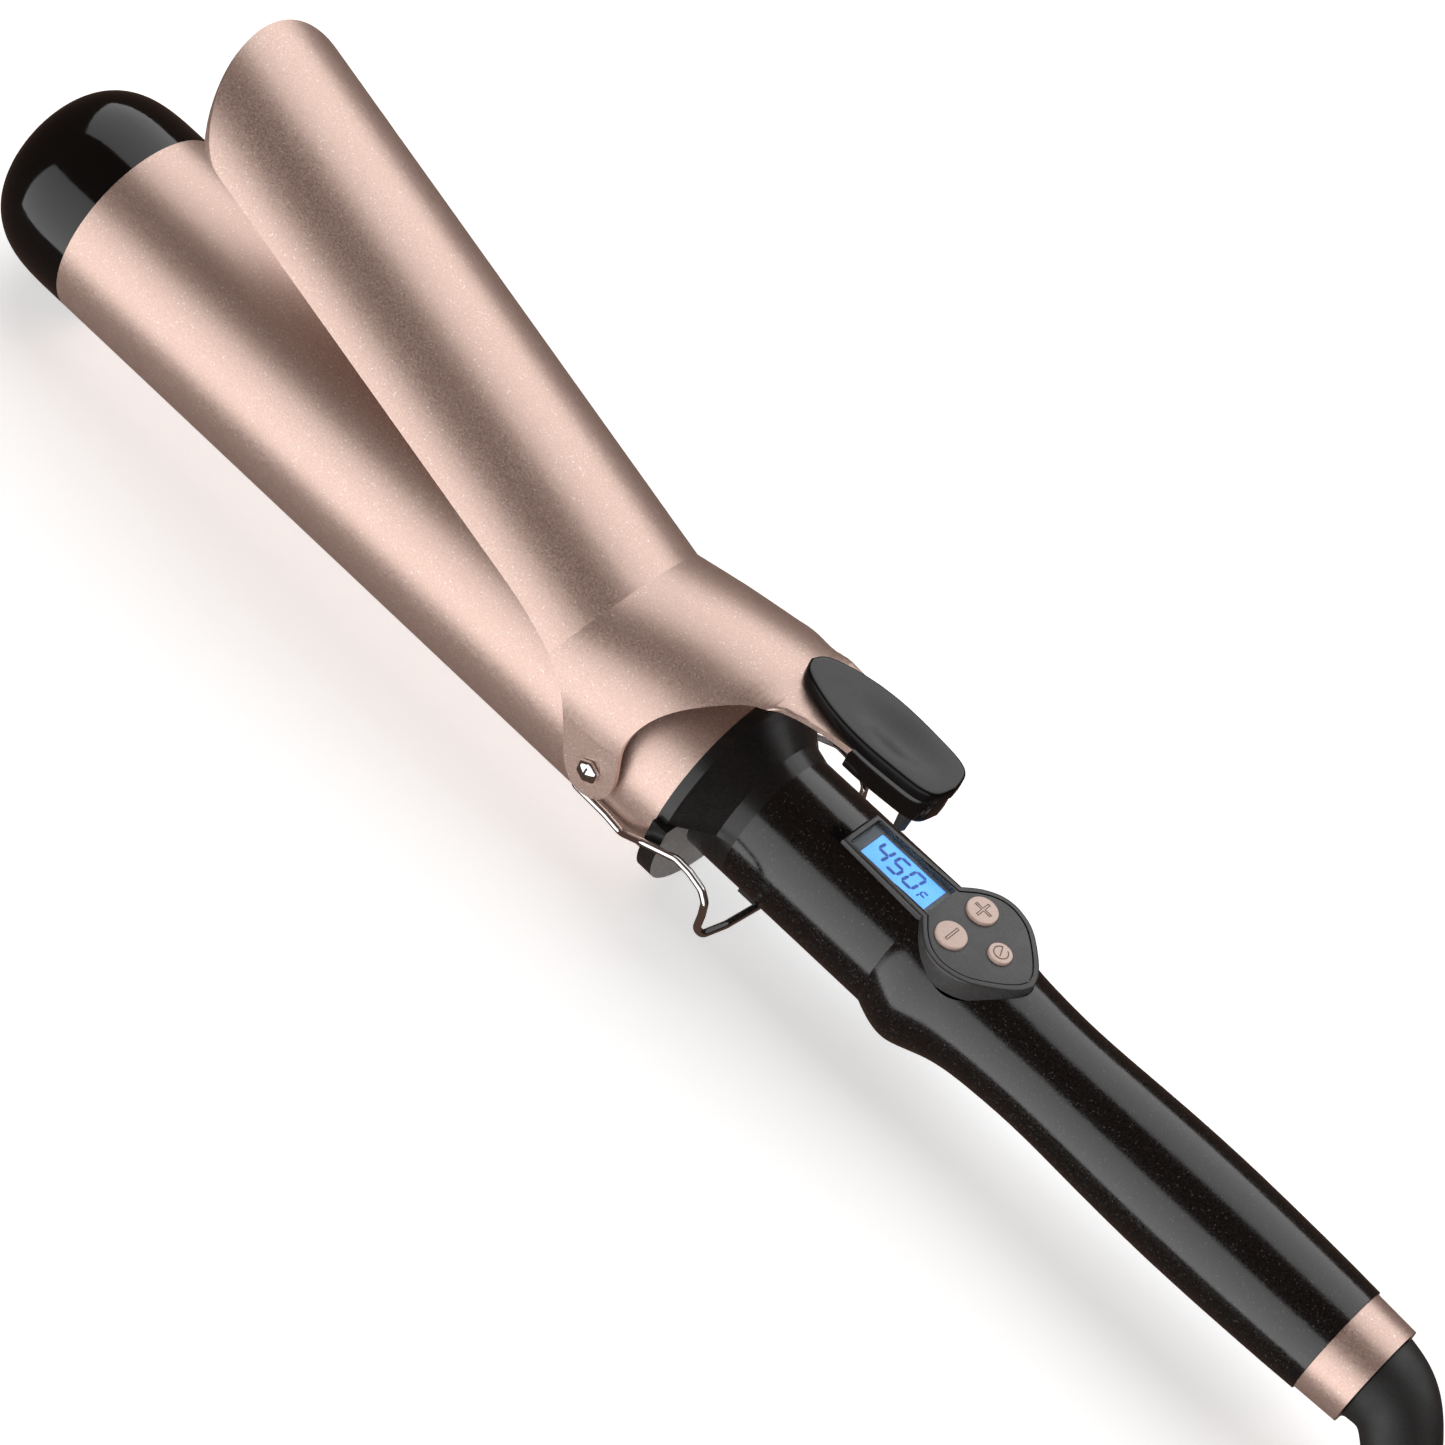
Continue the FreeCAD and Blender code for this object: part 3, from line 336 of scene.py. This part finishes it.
def collar_black():
    """Near-black shoulder; the flat back of the flange below it is painted a lighter grey, as
    painted light for the light that face catches.
    """
    look = Look("collar_black")
    grain = look.noise(0.0005, 3.0)
    dark = look.mix(look.span(grain, 0.3, 0.7), grey(0.006), grey(0.014))
    back = look.span(look.axes(look.facing)["X"], 0.4, 0.7)
    below = look.span(look.axes(look.place)["Z"], spot(0, 0, 2.2).z, spot(0, 0, 2.0).z)
    # Painted light: this mask picks the flat back of the flange below the shoulder, which is
    # painted pale grey.
    painted_light_mask = look.node("ShaderNodeMath", operation="MULTIPLY")
    look.link(back, painted_light_mask.inputs[0])
    look.link(below, painted_light_mask.inputs[1])
    painted_light_grey = look.mix(look.noise(0.01, 2.0), grey(0.27), grey(0.30))
    look.colour(look.mix(painted_light_mask.outputs["Value"], dark, painted_light_grey))
    look.roughness(look.span(look.noise(0.006, 3.0), 0.3, 0.7, 0.2, 0.32))
    look.relief(grain, 0.00001, 0.2)
    return look.material


MATERIALS = {
    "collar_black": collar_black(),
    "rose_metal": rose_metal(),
    "cool_black": gloss_black("cool_black"),
    "sparkle_black": sparkle_black(),
    "soft_black": matte_plastic("soft_black", grey(0.012), grey(0.024)),
    "panel_grey": matte_plastic("panel_grey", grey(0.05), grey(0.075), 0.3),
    "panel_rim": matte_plastic("panel_rim", grey(0.035), grey(0.055), 0.24),
    "bay_grey": matte_plastic("bay_grey", (0.13, 0.15, 0.17), (0.16, 0.18, 0.20), 0.4),
    "rest_black": rest_black(),
    "digit_blue": matte_plastic("digit_blue", (0.03, 0.15, 0.62), (0.05, 0.20, 0.72), 0.4),
    "mark_brown": matte_plastic("mark_brown", (0.10, 0.05, 0.04), (0.16, 0.08, 0.06), 0.5),
    "rose_plastic": matte_plastic("rose_plastic", (0.80, 0.58, 0.50), (0.90, 0.70, 0.62), 0.3),
    "clear_lens": clear_lens(),
    "lit_blue": lit_panel(),
    "chrome": bright_metal("chrome", (0.80, 0.80, 0.82), (0.92, 0.92, 0.93), 0.06),
    "steel": bright_metal("steel", (0.50, 0.50, 0.52), (0.62, 0.62, 0.63), 0.28),
    "aluminium": bright_metal("aluminium", (0.66, 0.66, 0.68), (0.78, 0.78, 0.79), 0.35),
    "ceramic": matte_plastic("ceramic", (0.70, 0.69, 0.66), (0.84, 0.83, 0.80), 0.6, 0.001),
    "board_green": matte_plastic(
        "board_green", (0.01, 0.10, 0.03), (0.02, 0.16, 0.05), 0.35, 0.002),
    "brass": bright_metal("brass", (0.70, 0.48, 0.20), (0.82, 0.60, 0.28), 0.25),
    "wire_cover": matte_plastic("wire_cover", (0.60, 0.58, 0.54), (0.72, 0.70, 0.66), 0.5, 0.0008),
    "rubber_black": matte_plastic("rubber_black", grey(0.008), grey(0.016), 0.5),
}

SLOT_NODES = {
    "rose_metal": ["barrel_tube", "clamp_lever", "end_ring"],
    "cool_black": ["tip_cap", "thumb_rest"],
    "sparkle_black": ["neck_housing", "handle_upper", "handle_lower"],
    "collar_black": ["collar"],
    "soft_black": ["wire_rest", "lever_bumper", "swivel_socket"],
    "panel_grey": ["control_fascia", "panel_inlay"],
    "rose_plastic": ["button_plus", "button_minus", "button_power"],
    "clear_lens": ["display_window"],
    "lit_blue": ["display_panel"],
    "chrome": ["pivot_screws", "stand_wire"],
    "steel": ["clamp_spring", "pivot_posts", "handle_screws", "thumb_rest_screws"],
    "aluminium": ["heat_spreader_upper", "heat_spreader_lower"],
    "ceramic": ["ceramic_heater", "thermal_fuse", "temperature_sensor"],
    "board_green": ["circuit_board"],
    "brass": ["contact_rings", "contact_fingers"],
    "wire_cover": ["heater_leads", "handle_leads"],
    "rubber_black": ["strain_relief", "swivel_core", "tact_switches", "control_chip"],
}
for slot, names in SLOT_NODES.items():
    for name in names:
        mesh = nodes[name].data
        mesh.materials.clear()
        mesh.materials.append(MATERIALS[slot])


# ------------------------------------------------------------------ shaped pieces


def smooth_line(points, steps):
    """Rounded line through plane points (Catmull-Rom)."""
    line = []
    count = len(points)
    for i in range(count - 1):
        p0, p1 = points[max(i - 1, 0)], points[i]
        p2, p3 = points[i + 1], points[min(i + 2, count - 1)]
        for step in range(steps):
            t = step / steps
            line.append(tuple(
                0.5 * (2 * b + (c - a) * t + (2 * a - 5 * b + 4 * c - d) * t * t
                       + (3 * b - a - 3 * c + d) * t ** 3)
                for a, b, c, d in zip(p0, p1, p2, p3)))
    line.append(points[-1])
    return line


SHORTEST_EDGE = 1e-6
CORNER_LIMIT = 0.35


def inset(outline, distance):
    """Closed outline moved inward by a distance; it runs anticlockwise."""
    moved = []
    count = len(outline)
    for i, (x, y) in enumerate(outline):
        before, after = outline[i - 1], outline[(i + 1) % count]
        first = Vector((x - before[0], y - before[1]))
        second = Vector((after[0] - x, after[1] - y))
        if min(first.length, second.length) < SHORTEST_EDGE:
            moved.append((x, y))
            continue
        first.normalize()
        second.normalize()
        bisector = (first + second).normalized()
        reach = distance / max(CORNER_LIMIT, bisector.dot(first))
        moved.append((x - bisector.y * reach, y + bisector.x * reach))
    return moved


def rings_mesh(name, rings):
    """Skin over a stack of equal rings given in mm about the barrel's axis."""
    bm = bmesh.new()
    rows = [[bm.verts.new(spot(*p)) for p in ring] for ring in rings]
    count = len(rings[0])
    for low_row, high_row in zip(rows, rows[1:]):
        for i in range(count):
            j = (i + 1) % count
            bm.faces.new((low_row[i], low_row[j], high_row[j], high_row[i]))
    bm.faces.new(list(reversed(rows[0])))
    bm.faces.new(rows[-1])
    made = closed_object(name, bm)
    shade(made)
    return made


def closed_object(name, bm):
    """Turns a finished bmesh into an object whose faces look outward."""
    bmesh.ops.recalc_face_normals(bm, faces=bm.faces)
    mesh = bpy.data.meshes.new(name)
    bm.to_mesh(mesh)
    bm.free()
    return new_object(name, mesh)


def shade(made):
    """Smooth shading that keeps the real edges sharp."""
    made.data.shade_smooth()
    made.data.set_sharp_from_angle(angle=math.radians(SMOOTH_ANGLE))


def rounded_rings(outline, low, high, radius, steps=4, low_radius=0.0):
    """Rings of an upright prism with a rounded top rim."""
    rings = []
    if low_radius > 0:
        for step in range(steps):
            turn = math.pi / 2 * step / steps
            shift = low_radius * (1 - math.sin(turn))
            z = low + low_radius * (1 - math.cos(turn))
            rings.append([(x, y, z) for x, y in inset(outline, shift)])
    rings.append([(x, y, low + low_radius) for x, y in outline])
    for step in range(steps + 1):
        turn = math.pi / 2 * step / steps
        shift = radius * (1 - math.cos(turn))
        z = high - radius * (1 - math.sin(turn))
        rings.append([(x, y, z) for x, y in inset(outline, shift)])
    return rings


def wear(made, look, body, *replaced):
    """Gives a piece its look, its body and the nodes it stands for."""
    made.data.materials.append(MATERIALS[look])
    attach(made, body)
    if replaced:
        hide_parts(*replaced)
    return made


def cut_through(made, cutter):
    """Cuts one mesh out of another and leaves no modifier."""
    modifier = made.modifiers.new("cut", "BOOLEAN")
    modifier.operation = "DIFFERENCE"
    modifier.solver = "EXACT"
    modifier.object = cutter
    bpy.context.view_layer.update()
    evaluated = made.evaluated_get(bpy.context.evaluated_depsgraph_get())
    mesh = bpy.data.meshes.new_from_object(evaluated)
    made.modifiers.clear()
    made.data = mesh
    bpy.data.objects.remove(cutter)
    shade(made)
    return made


def plate(name, corners, low, high):
    """Upright prism with sharp edges."""
    return rings_mesh(name, [[(x, y, z) for x, y in corners] for z in (low, high)])


def box_corners(x0, y0, x1, y1):
    return [(x0, y0), (x1, y0), (x1, y1), (x0, y1)]


def circle(x, y, radius, count=64):
    return [(x + radius * math.cos(2 * math.pi * i / count),
             y + radius * math.sin(2 * math.pi * i / count)) for i in range(count)]


# Control fascia: a rounded rim round a recessed grey inlay and the display bay.
FASCIA = mm_box("control_fascia")
RIM_WIDTH, RIM_ROUND = 1.35, 0.6
RECESS_FLOOR = 15.95
INLAY_INSET, INLAY_LOW, INLAY_SUNK, INLAY_ROUND = 1.6, 15.98, 0.05, 0.18
CUT_LOW, CUT_HIGH = 9.0, 18.0
HOLE_GAP = 0.12
OBLONG_HALF_WIDE = 6.3
PAD_HALF = [
    (247.7, 7.2), (251.0, 11.0), (255.0, 13.6), (259.5, 14.2),
    (265.0, 12.4), (270.5, 7.6), (273.8, 3.4), (FASCIA.x1, 0.0)]
BAY = box_corners(225.25, -5.3, 247.9, 5.3)
KEY_FLANGE = 0.7


def key_place(label):
    """Centre and radius of a key's cap, inside the flange of its CAD node."""
    box = mm_box("button_" + label)
    radius = (box.x1 - box.x0) / 2 - KEY_FLANGE
    return (box.x0 + box.x1) / 2, (box.y0 + box.y1) / 2, radius


KEYS = [(label, *key_place(label)) for label in ("plus", "minus", "power")]


def keyhole_outline():
    """The display's oblong joined to the buttons' pad."""
    half = smooth_line(PAD_HALF, 6)
    front = [(FASCIA.x0, OBLONG_HALF_WIDE), (FASCIA.x0, -OBLONG_HALF_WIDE)]
    lower_half = [(x, -y) for x, y in half]
    upper_half = [(x, y) for x, y in reversed(half[:-1])]
    return front + lower_half + upper_half


def build_fascia(outline):
    rim = rings_mesh("fascia_rim", rounded_rings(outline, FASCIA.z0, FASCIA.z1, RIM_ROUND))
    cut_through(rim, plate("recess_tool", inset(outline, RIM_WIDTH), RECESS_FLOOR, CUT_HIGH))
    cut_through(rim, plate("bay_tool", BAY, CUT_LOW, CUT_HIGH))
    inlay = rings_mesh("fascia_inlay", rounded_rings(
        inset(outline, INLAY_INSET), INLAY_LOW, FASCIA.z1 - INLAY_SUNK, INLAY_ROUND, 3))
    cut_through(inlay, plate("bay_tool", inset(BAY, 0.05), CUT_LOW, CUT_HIGH))
    for label, x, y, radius in KEYS:
        for piece in (rim, inlay):
            hole = circle(x, y, radius + HOLE_GAP)
            cut_through(piece, plate("hole_tool", hole, CUT_LOW, CUT_HIGH))
    wear(rim, "panel_rim", "barrel_and_handle", "control_fascia")
    wear(inlay, "panel_grey", "barrel_and_handle", "panel_inlay")


build_fascia(keyhole_outline())

# Display: a dark frame and a lit field behind a flush clear pane, with plain digits.
FIELD = mm_box("display_panel")
LIT = (227.76, -4.05, 246.45, 4.05)
FRAME_LOW, FRAME_HIGH = 14.95, 15.1
FIELD_HIGH = 14.93
PANE_LOW, PANE_SUNK, PANE_ROUND = 15.3, 0.06, 0.15


def build_display():
    mask = plate("display_frame", inset(BAY, 0.1), FRAME_LOW, FRAME_HIGH)
    cut_through(mask, plate("lit_tool", box_corners(*LIT), CUT_LOW, CUT_HIGH))
    wear(mask, "bay_grey", "barrel_and_handle")
    field = box_corners(FIELD.x0, FIELD.y0, FIELD.x1, FIELD.y1)
    glow = plate("display_light", field, FIELD.z0, FIELD_HIGH)
    wear(glow, "lit_blue", "barrel_and_handle", "display_panel")
    pane = rings_mesh("display_pane", rounded_rings(
        inset(BAY, 0.08), PANE_LOW, FASCIA.z1 - PANE_SUNK, PANE_ROUND, 3))
    wear(pane, "clear_lens", "barrel_and_handle", "display_window")


build_display()

SEGMENTS = {"4": "fgbc", "5": "afgcd", "0": "abcdef", "F": "aefg"}
LEAN, SEGMENT_GAP = 0.12, 0.09
DIGIT_LOW, DIGIT_HIGH = 14.95, 15.02
DIGIT_START, DIGIT_STEP, DIGIT_FOOT = 229.3, 4.5, -2.1
DIGIT_SIZE = (2.9, 4.9, 0.75)
UNIT_START, UNIT_FOOT = 243.0, -2.6
UNIT_SIZE = (1.5, 2.4, 0.42)


def digit(name, symbol, x, y, wide, tall, thick):
    """One seven-segment figure, leaning a little, reading along the grip."""
    half = tall / 2
    spans = {
        "a": ((0, tall), (wide, tall)), "g": ((0, half), (wide, half)), "d": ((0, 0), (wide, 0)),
        "f": ((0, half), (0, tall)), "b": ((wide, half), (wide, tall)),
        "e": ((0, 0), (0, half)), "c": ((wide, 0), (wide, half)),
    }
    bm = bmesh.new()
    for key in SEGMENTS[symbol]:
        start, end = (Vector(p) for p in spans[key])
        along = (end - start).normalized()
        across = Vector((-along.y, along.x)) * thick / 2
        start = start + along * SEGMENT_GAP
        end = end - along * SEGMENT_GAP
        tip = along * thick / 2
        ring = [start, start + tip + across, end - tip + across, end, end - tip - across,
                start + tip - across]
        places = [(x + p.x + LEAN * p.y, y + p.y) for p in ring]
        low_row = [bm.verts.new(spot(u, v, DIGIT_LOW)) for u, v in places]
        high_row = [bm.verts.new(spot(u, v, DIGIT_HIGH)) for u, v in places]
        bm.faces.new(high_row)
        bm.faces.new(list(reversed(low_row)))
        for i in range(len(ring)):
            j = (i + 1) % len(ring)
            bm.faces.new((low_row[i], low_row[j], high_row[j], high_row[i]))
    return wear(closed_object(name, bm), "digit_blue", "barrel_and_handle")


for place, symbol in enumerate("450"):
    digit("digit_%d" % place, symbol, DIGIT_START + DIGIT_STEP * place, DIGIT_FOOT, *DIGIT_SIZE)
digit("digit_unit", "F", UNIT_START, UNIT_FOOT, *UNIT_SIZE)

# Keys: crowned caps with their marks let into them.
KEY_LOW = 12.0
KEY_TOP = mm_box("button_plus").z1
KEY_RIM = KEY_TOP - 0.10
KEY_ROUND, KEY_CROWN = 0.35, 0.07
MARK_WIDTH = 0.2
MARK_LOW, MARK_HIGH = KEY_TOP - 0.35, KEY_TOP + 0.02
MARK_HALF_LONG = 2.2
PLUS_HALF_WIDE, MINUS_HALF_WIDE = 0.26, 0.28
POWER_RADIUS, POWER_FROM, POWER_TURN, POWER_STEPS = 1.7, 115, 310, 24


def ribbon(bm, path, closed):
    """Thin bar along a plane path, closed on every side."""
    count = len(path)
    rows = []
    for i, p in enumerate(path):
        before = path[i - 1] if (closed or i) else p
        after = path[(i + 1) % count] if (closed or i < count - 1) else p
        along = (Vector(after) - Vector(before)).normalized()
        across = Vector((-along.y, along.x)) * MARK_WIDTH / 2
        outside = Vector(p) + across
        inside = Vector(p) - across
        rows.append([bm.verts.new(spot(*corner)) for corner in (
            (outside.x, outside.y, MARK_HIGH), (inside.x, inside.y, MARK_HIGH),
            (inside.x, inside.y, MARK_LOW), (outside.x, outside.y, MARK_LOW))])
    last = count if closed else count - 1
    for i in range(last):
        a, b = rows[i], rows[(i + 1) % count]
        for j in range(4):
            k = (j + 1) % 4
            bm.faces.new((a[j], b[j], b[k], a[k]))
    if not closed:
        bm.faces.new(rows[0])
        bm.faces.new(list(reversed(rows[-1])))


def bar_path(x, y, half_long, half_wide):
    """Outline of a bar across the grip."""
    return box_corners(x - half_wide, y - half_long, x + half_wide, y + half_long)


def cross_path(x, y, long, wide):
    """Outline of a cross."""
    turns = [(wide, -long), (wide, -wide), (long, -wide), (long, wide), (wide, wide),
             (wide, long), (-wide, long), (-wide, wide), (-long, wide), (-long, -wide),
             (-wide, -wide), (-wide, -long)]
    return [(x + u, y + v) for u, v in turns]


def key_cap(label, x, y, radius):
    """Cap with a rounded edge and a slightly crowned top."""
    levels = [(KEY_LOW, radius), (KEY_RIM - KEY_ROUND, radius)]
    for step in range(1, 6):
        turn = math.pi / 2 * step / 5
        levels.append((KEY_RIM - KEY_ROUND + KEY_ROUND * math.sin(turn),
                       radius - KEY_ROUND * (1 - math.cos(turn))))
    for share in (0.75, 0.5, 0.25):
        levels.append((KEY_RIM + KEY_CROWN * (1 - share * share), (radius - KEY_ROUND) * share))
    rings = [[(u, v, z) for u, v in circle(x, y, wide)] for z, wide in levels]
    wear(rings_mesh("key_" + label, rings), "rose_plastic", label + "_key", "button_" + label)


def key_mark(label, x, y):
    """Fine line on a cap: the outline of a plus or a minus, or the power sign."""
    bm = bmesh.new()
    if label == "plus":
        ribbon(bm, cross_path(x, y, MARK_HALF_LONG, PLUS_HALF_WIDE), True)
    elif label == "minus":
        ribbon(bm, bar_path(x, y, MARK_HALF_LONG, MINUS_HALF_WIDE), True)
    else:
        arc = []
        for i in range(POWER_STEPS + 1):
            turn = math.radians(POWER_FROM + POWER_TURN * i / POWER_STEPS)
            arc.append((x + POWER_RADIUS * math.cos(turn), y + POWER_RADIUS * math.sin(turn)))
        ribbon(bm, arc, False)
        ribbon(bm, [(x - 0.68, y + 1.5), (x + 0.45, y - 1.0)], False)
    wear(closed_object("mark_" + label, bm), "mark_brown", label + "_key")


for label, x, y, radius in KEYS:
    key_cap(label, x, y, radius)
    key_mark(label, x, y)

# Thumb rest: rounded rim, soft oval dish and the block that takes the lever's tail.
REST = mm_box("thumb_rest")
REST_HALF = [
    (REST.x0, 0.0), (197.2, 3.4), (202.5, 6.1), (210.0, 8.0), (218.0, REST.y1),
    (227.0, 8.1), (233.5, 7.2), (236.6, 5.0), (REST.x1, 0.0)]
REST_LOW, REST_ROUND, REST_FOOT_ROUND = 41.7, 0.9, 0.5
REST_MIDDLE = 218.5
DISH_MIDDLE, DISH_HALF_LONG, DISH_HALF_WIDE, DISH_DEPTH = 221.5, 14.0, 7.0, 0.9
DISH_RINGS = 17
BLOCK_FRONT, BLOCK_HIGH, BLOCK_INSET = 215.2, 42.2, 0.7
TONGUE = box_corners(205, -6.4, 233.2, 6.4)
TONGUE_LOW, TONGUE_HIGH = 39.2, 41.6


def rest_outline():
    half = smooth_line(REST_HALF, 7)
    return [(x, -y) for x, y in half] + [(x, y) for x, y in reversed(half[1:-1])]


def dish(x, y):
    """Depth of the thumb's hollow below the flat top."""
    reach = math.hypot((x - DISH_MIDDLE) / DISH_HALF_LONG, y / DISH_HALF_WIDE)
    return DISH_DEPTH / 2 * (1 + math.cos(math.pi * min(1.0, reach)))


def thumb_paddle(outline):
    rings = rounded_rings(outline, REST_LOW, REST.z1, REST_ROUND, 5, REST_FOOT_ROUND)
    rim = rings[-1]
    for step in range(1, DISH_RINGS):
        share = 1 - step / DISH_RINGS
        ring = []
        for x, y, z in rim:
            u, v = REST_MIDDLE + (x - REST_MIDDLE) * share, y * share
            ring.append((u, v, REST.z1 - dish(u, v)))
        rings.append(ring)
    wear(rings_mesh("thumb_paddle", rings), "rest_black", "clamp", "thumb_rest")


def thumb_block(outline):
    """Block under the paddle's rear half, with a slot for the tail's tongue."""
    corners = [p for p in inset(outline, BLOCK_INSET) if p[0] >= BLOCK_FRONT]
    corners = sorted([p for p in corners if p[1] < 0]) + sorted(
        [p for p in corners if p[1] >= 0], reverse=True)
    block = rings_mesh("thumb_block", rounded_rings(corners, REST.z0, BLOCK_HIGH, 0.05, 2, 0.5))
    cut_through(block, plate("tongue_tool", TONGUE, TONGUE_LOW, TONGUE_HIGH))
    wear(block, "cool_black", "clamp")


thumb_paddle(rest_outline())
thumb_block(rest_outline())

# Pivot screws: six-sided bright domed heads with a cross slot.
SCREWS = mm_box("pivot_screws")
SCREW_X, SCREW_Z = (SCREWS.x0 + SCREWS.x1) / 2, (SCREWS.z0 + SCREWS.z1) / 2
HEAD_TALL = 2.0
HEAD_FOOT = SCREWS.y1 - HEAD_TALL
HEAD_PROFILE = [
    (0.0, 2.55), (0.1, 2.9), (0.45, 2.9), (0.66, 2.6), (0.84, 1.9), (0.95, 1.0), (1.0, 0.3)]
HEAD_POINTS = 48
FLAT_SHARE = 0.90
SLOT_LONG, SLOT_WIDE, SLOT_DEEP = 3.6, 0.55, 0.9


def hexagon_share(turn):
    """Share of the radius that six flats leave in one direction."""
    sixth = (turn + math.pi / 6) % (math.pi / 3) - math.pi / 6
    return min(1.0, FLAT_SHARE / math.cos(sixth))


def screw_head(name, side):
    """Head on the far side, +1, or the near side, -1."""
    rings = []
    for share, radius in HEAD_PROFILE:
        ring = []
        for i in range(HEAD_POINTS):
            turn = 2 * math.pi * i / HEAD_POINTS
            reach = radius * hexagon_share(turn)
            ring.append((SCREW_X + reach * math.cos(turn), side * (HEAD_FOOT + HEAD_TALL * share),
                         SCREW_Z + reach * math.sin(turn)))
        rings.append(ring)
    head = rings_mesh(name, rings)
    for wide, deep in ((SLOT_LONG, SLOT_WIDE), (SLOT_WIDE, SLOT_LONG)):
        y0, y1 = sorted((side * (SCREWS.y1 - SLOT_DEEP), side * (SCREWS.y1 + 1)))
        corners = box_corners(SCREW_X - wide / 2, SCREW_Z - deep / 2,
                              SCREW_X + wide / 2, SCREW_Z + deep / 2)
        slot_rings = [[(x, y, z) for x, z in corners] for y in (y0, y1)]
        cut_through(head, rings_mesh("slot_tool", slot_rings))
    return head


wear(screw_head("screw_head_far", 1), "chrome", "barrel_and_handle")
wear(screw_head("screw_head_near", -1), "chrome", "barrel_and_handle", "pivot_screws")

# Clamp spring: a steel leaf that runs from the barrel in front to the lever's tail behind.
LEAF_PATH = [
    (152.2, 25.32), (158.0, 25.32), (164.0, 26.2), (172.0, 30.8), (180.0, 35.5), (185.8, 37.6)]
LEAF_SECTION = [
    (-1, -0.4), (-1, 0.4), (-0.96, 1), (0, 1), (0.96, 1), (1, 0.4), (1, -0.4),
    (0.96, -1), (0, -1), (-0.96, -1)]
LEAF_HALF_WIDE, LEAF_HALF_THICK, LEAF_CORNER = 4.0, 0.28, 0.9


def leaf_spring():
    """Strip whose section follows the path and narrows at its two ends."""
    line = smooth_line(LEAF_PATH, 10)
    rings = []
    for i, (x, z) in enumerate(line):
        before, after = line[max(i - 1, 0)], line[min(i + 1, len(line) - 1)]
        slope = math.atan2(after[1] - before[1], after[0] - before[0])
        from_end = min(x - LEAF_PATH[0][0], LEAF_PATH[-1][0] - x)
        half = LEAF_HALF_WIDE - LEAF_CORNER * max(0.0, 1 - from_end / LEAF_CORNER) ** 2
        ring = []
        for across, up in LEAF_SECTION:
            lift = up * LEAF_HALF_THICK
            ring.append((x - lift * math.sin(slope), across * half, z + lift * math.cos(slope)))
        rings.append(ring)
    return rings_mesh("leaf_spring", rings)


leaf = leaf_spring()
leaf.data.materials.append(MATERIALS["steel"])
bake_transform(leaf)
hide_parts("clamp_spring")

# ------------------------------------------------------------------ studio
floor = lay_floor()
pale = Look("pale_floor")
pale.colour(pale.mix(pale.noise(0.4, 2.0), (0.90, 0.90, 0.90), (0.93, 0.93, 0.93)))
pale.fixed(Roughness=0.9, Specular_IOR_Level=0.1, Emission_Strength=0.55)
pale.shader.inputs["Emission Color"].default_value = (1.0, 1.0, 1.0, 1.0)
floor.visible_glossy = False
floor.visible_shadow = False
floor.data.materials.append(pale.material)

world = bpy.data.worlds.new("studio")
scene.world = world
world.use_nodes = True
backdrop = world.node_tree.nodes["Background"]
backdrop.inputs["Strength"].default_value = 1.0
ray = world.node_tree.nodes.new("ShaderNodeLightPath")
tone = world.node_tree.nodes.new("ShaderNodeMix")
tone.data_type = "RGBA"
tone.inputs["A"].default_value = (0.08, 0.048, 0.036, 1.0)
tone.inputs["B"].default_value = (0.93, 0.93, 0.93, 1.0)
world.node_tree.links.new(ray.outputs["Is Camera Ray"], tone.inputs["Factor"])
world.node_tree.links.new(tone.outputs["Result"], backdrop.inputs["Color"])

middle = (cad_low + cad_high) / 2
soft_panel("front_panel", (-0.05, -1.15, 0.03), middle, 2.6, 1.5, 1.2, 2.2)
soft_panel("back_panel", (-0.05, 0.64, 1.03), middle, 2.8, 1.5, 1.25, 1.85)
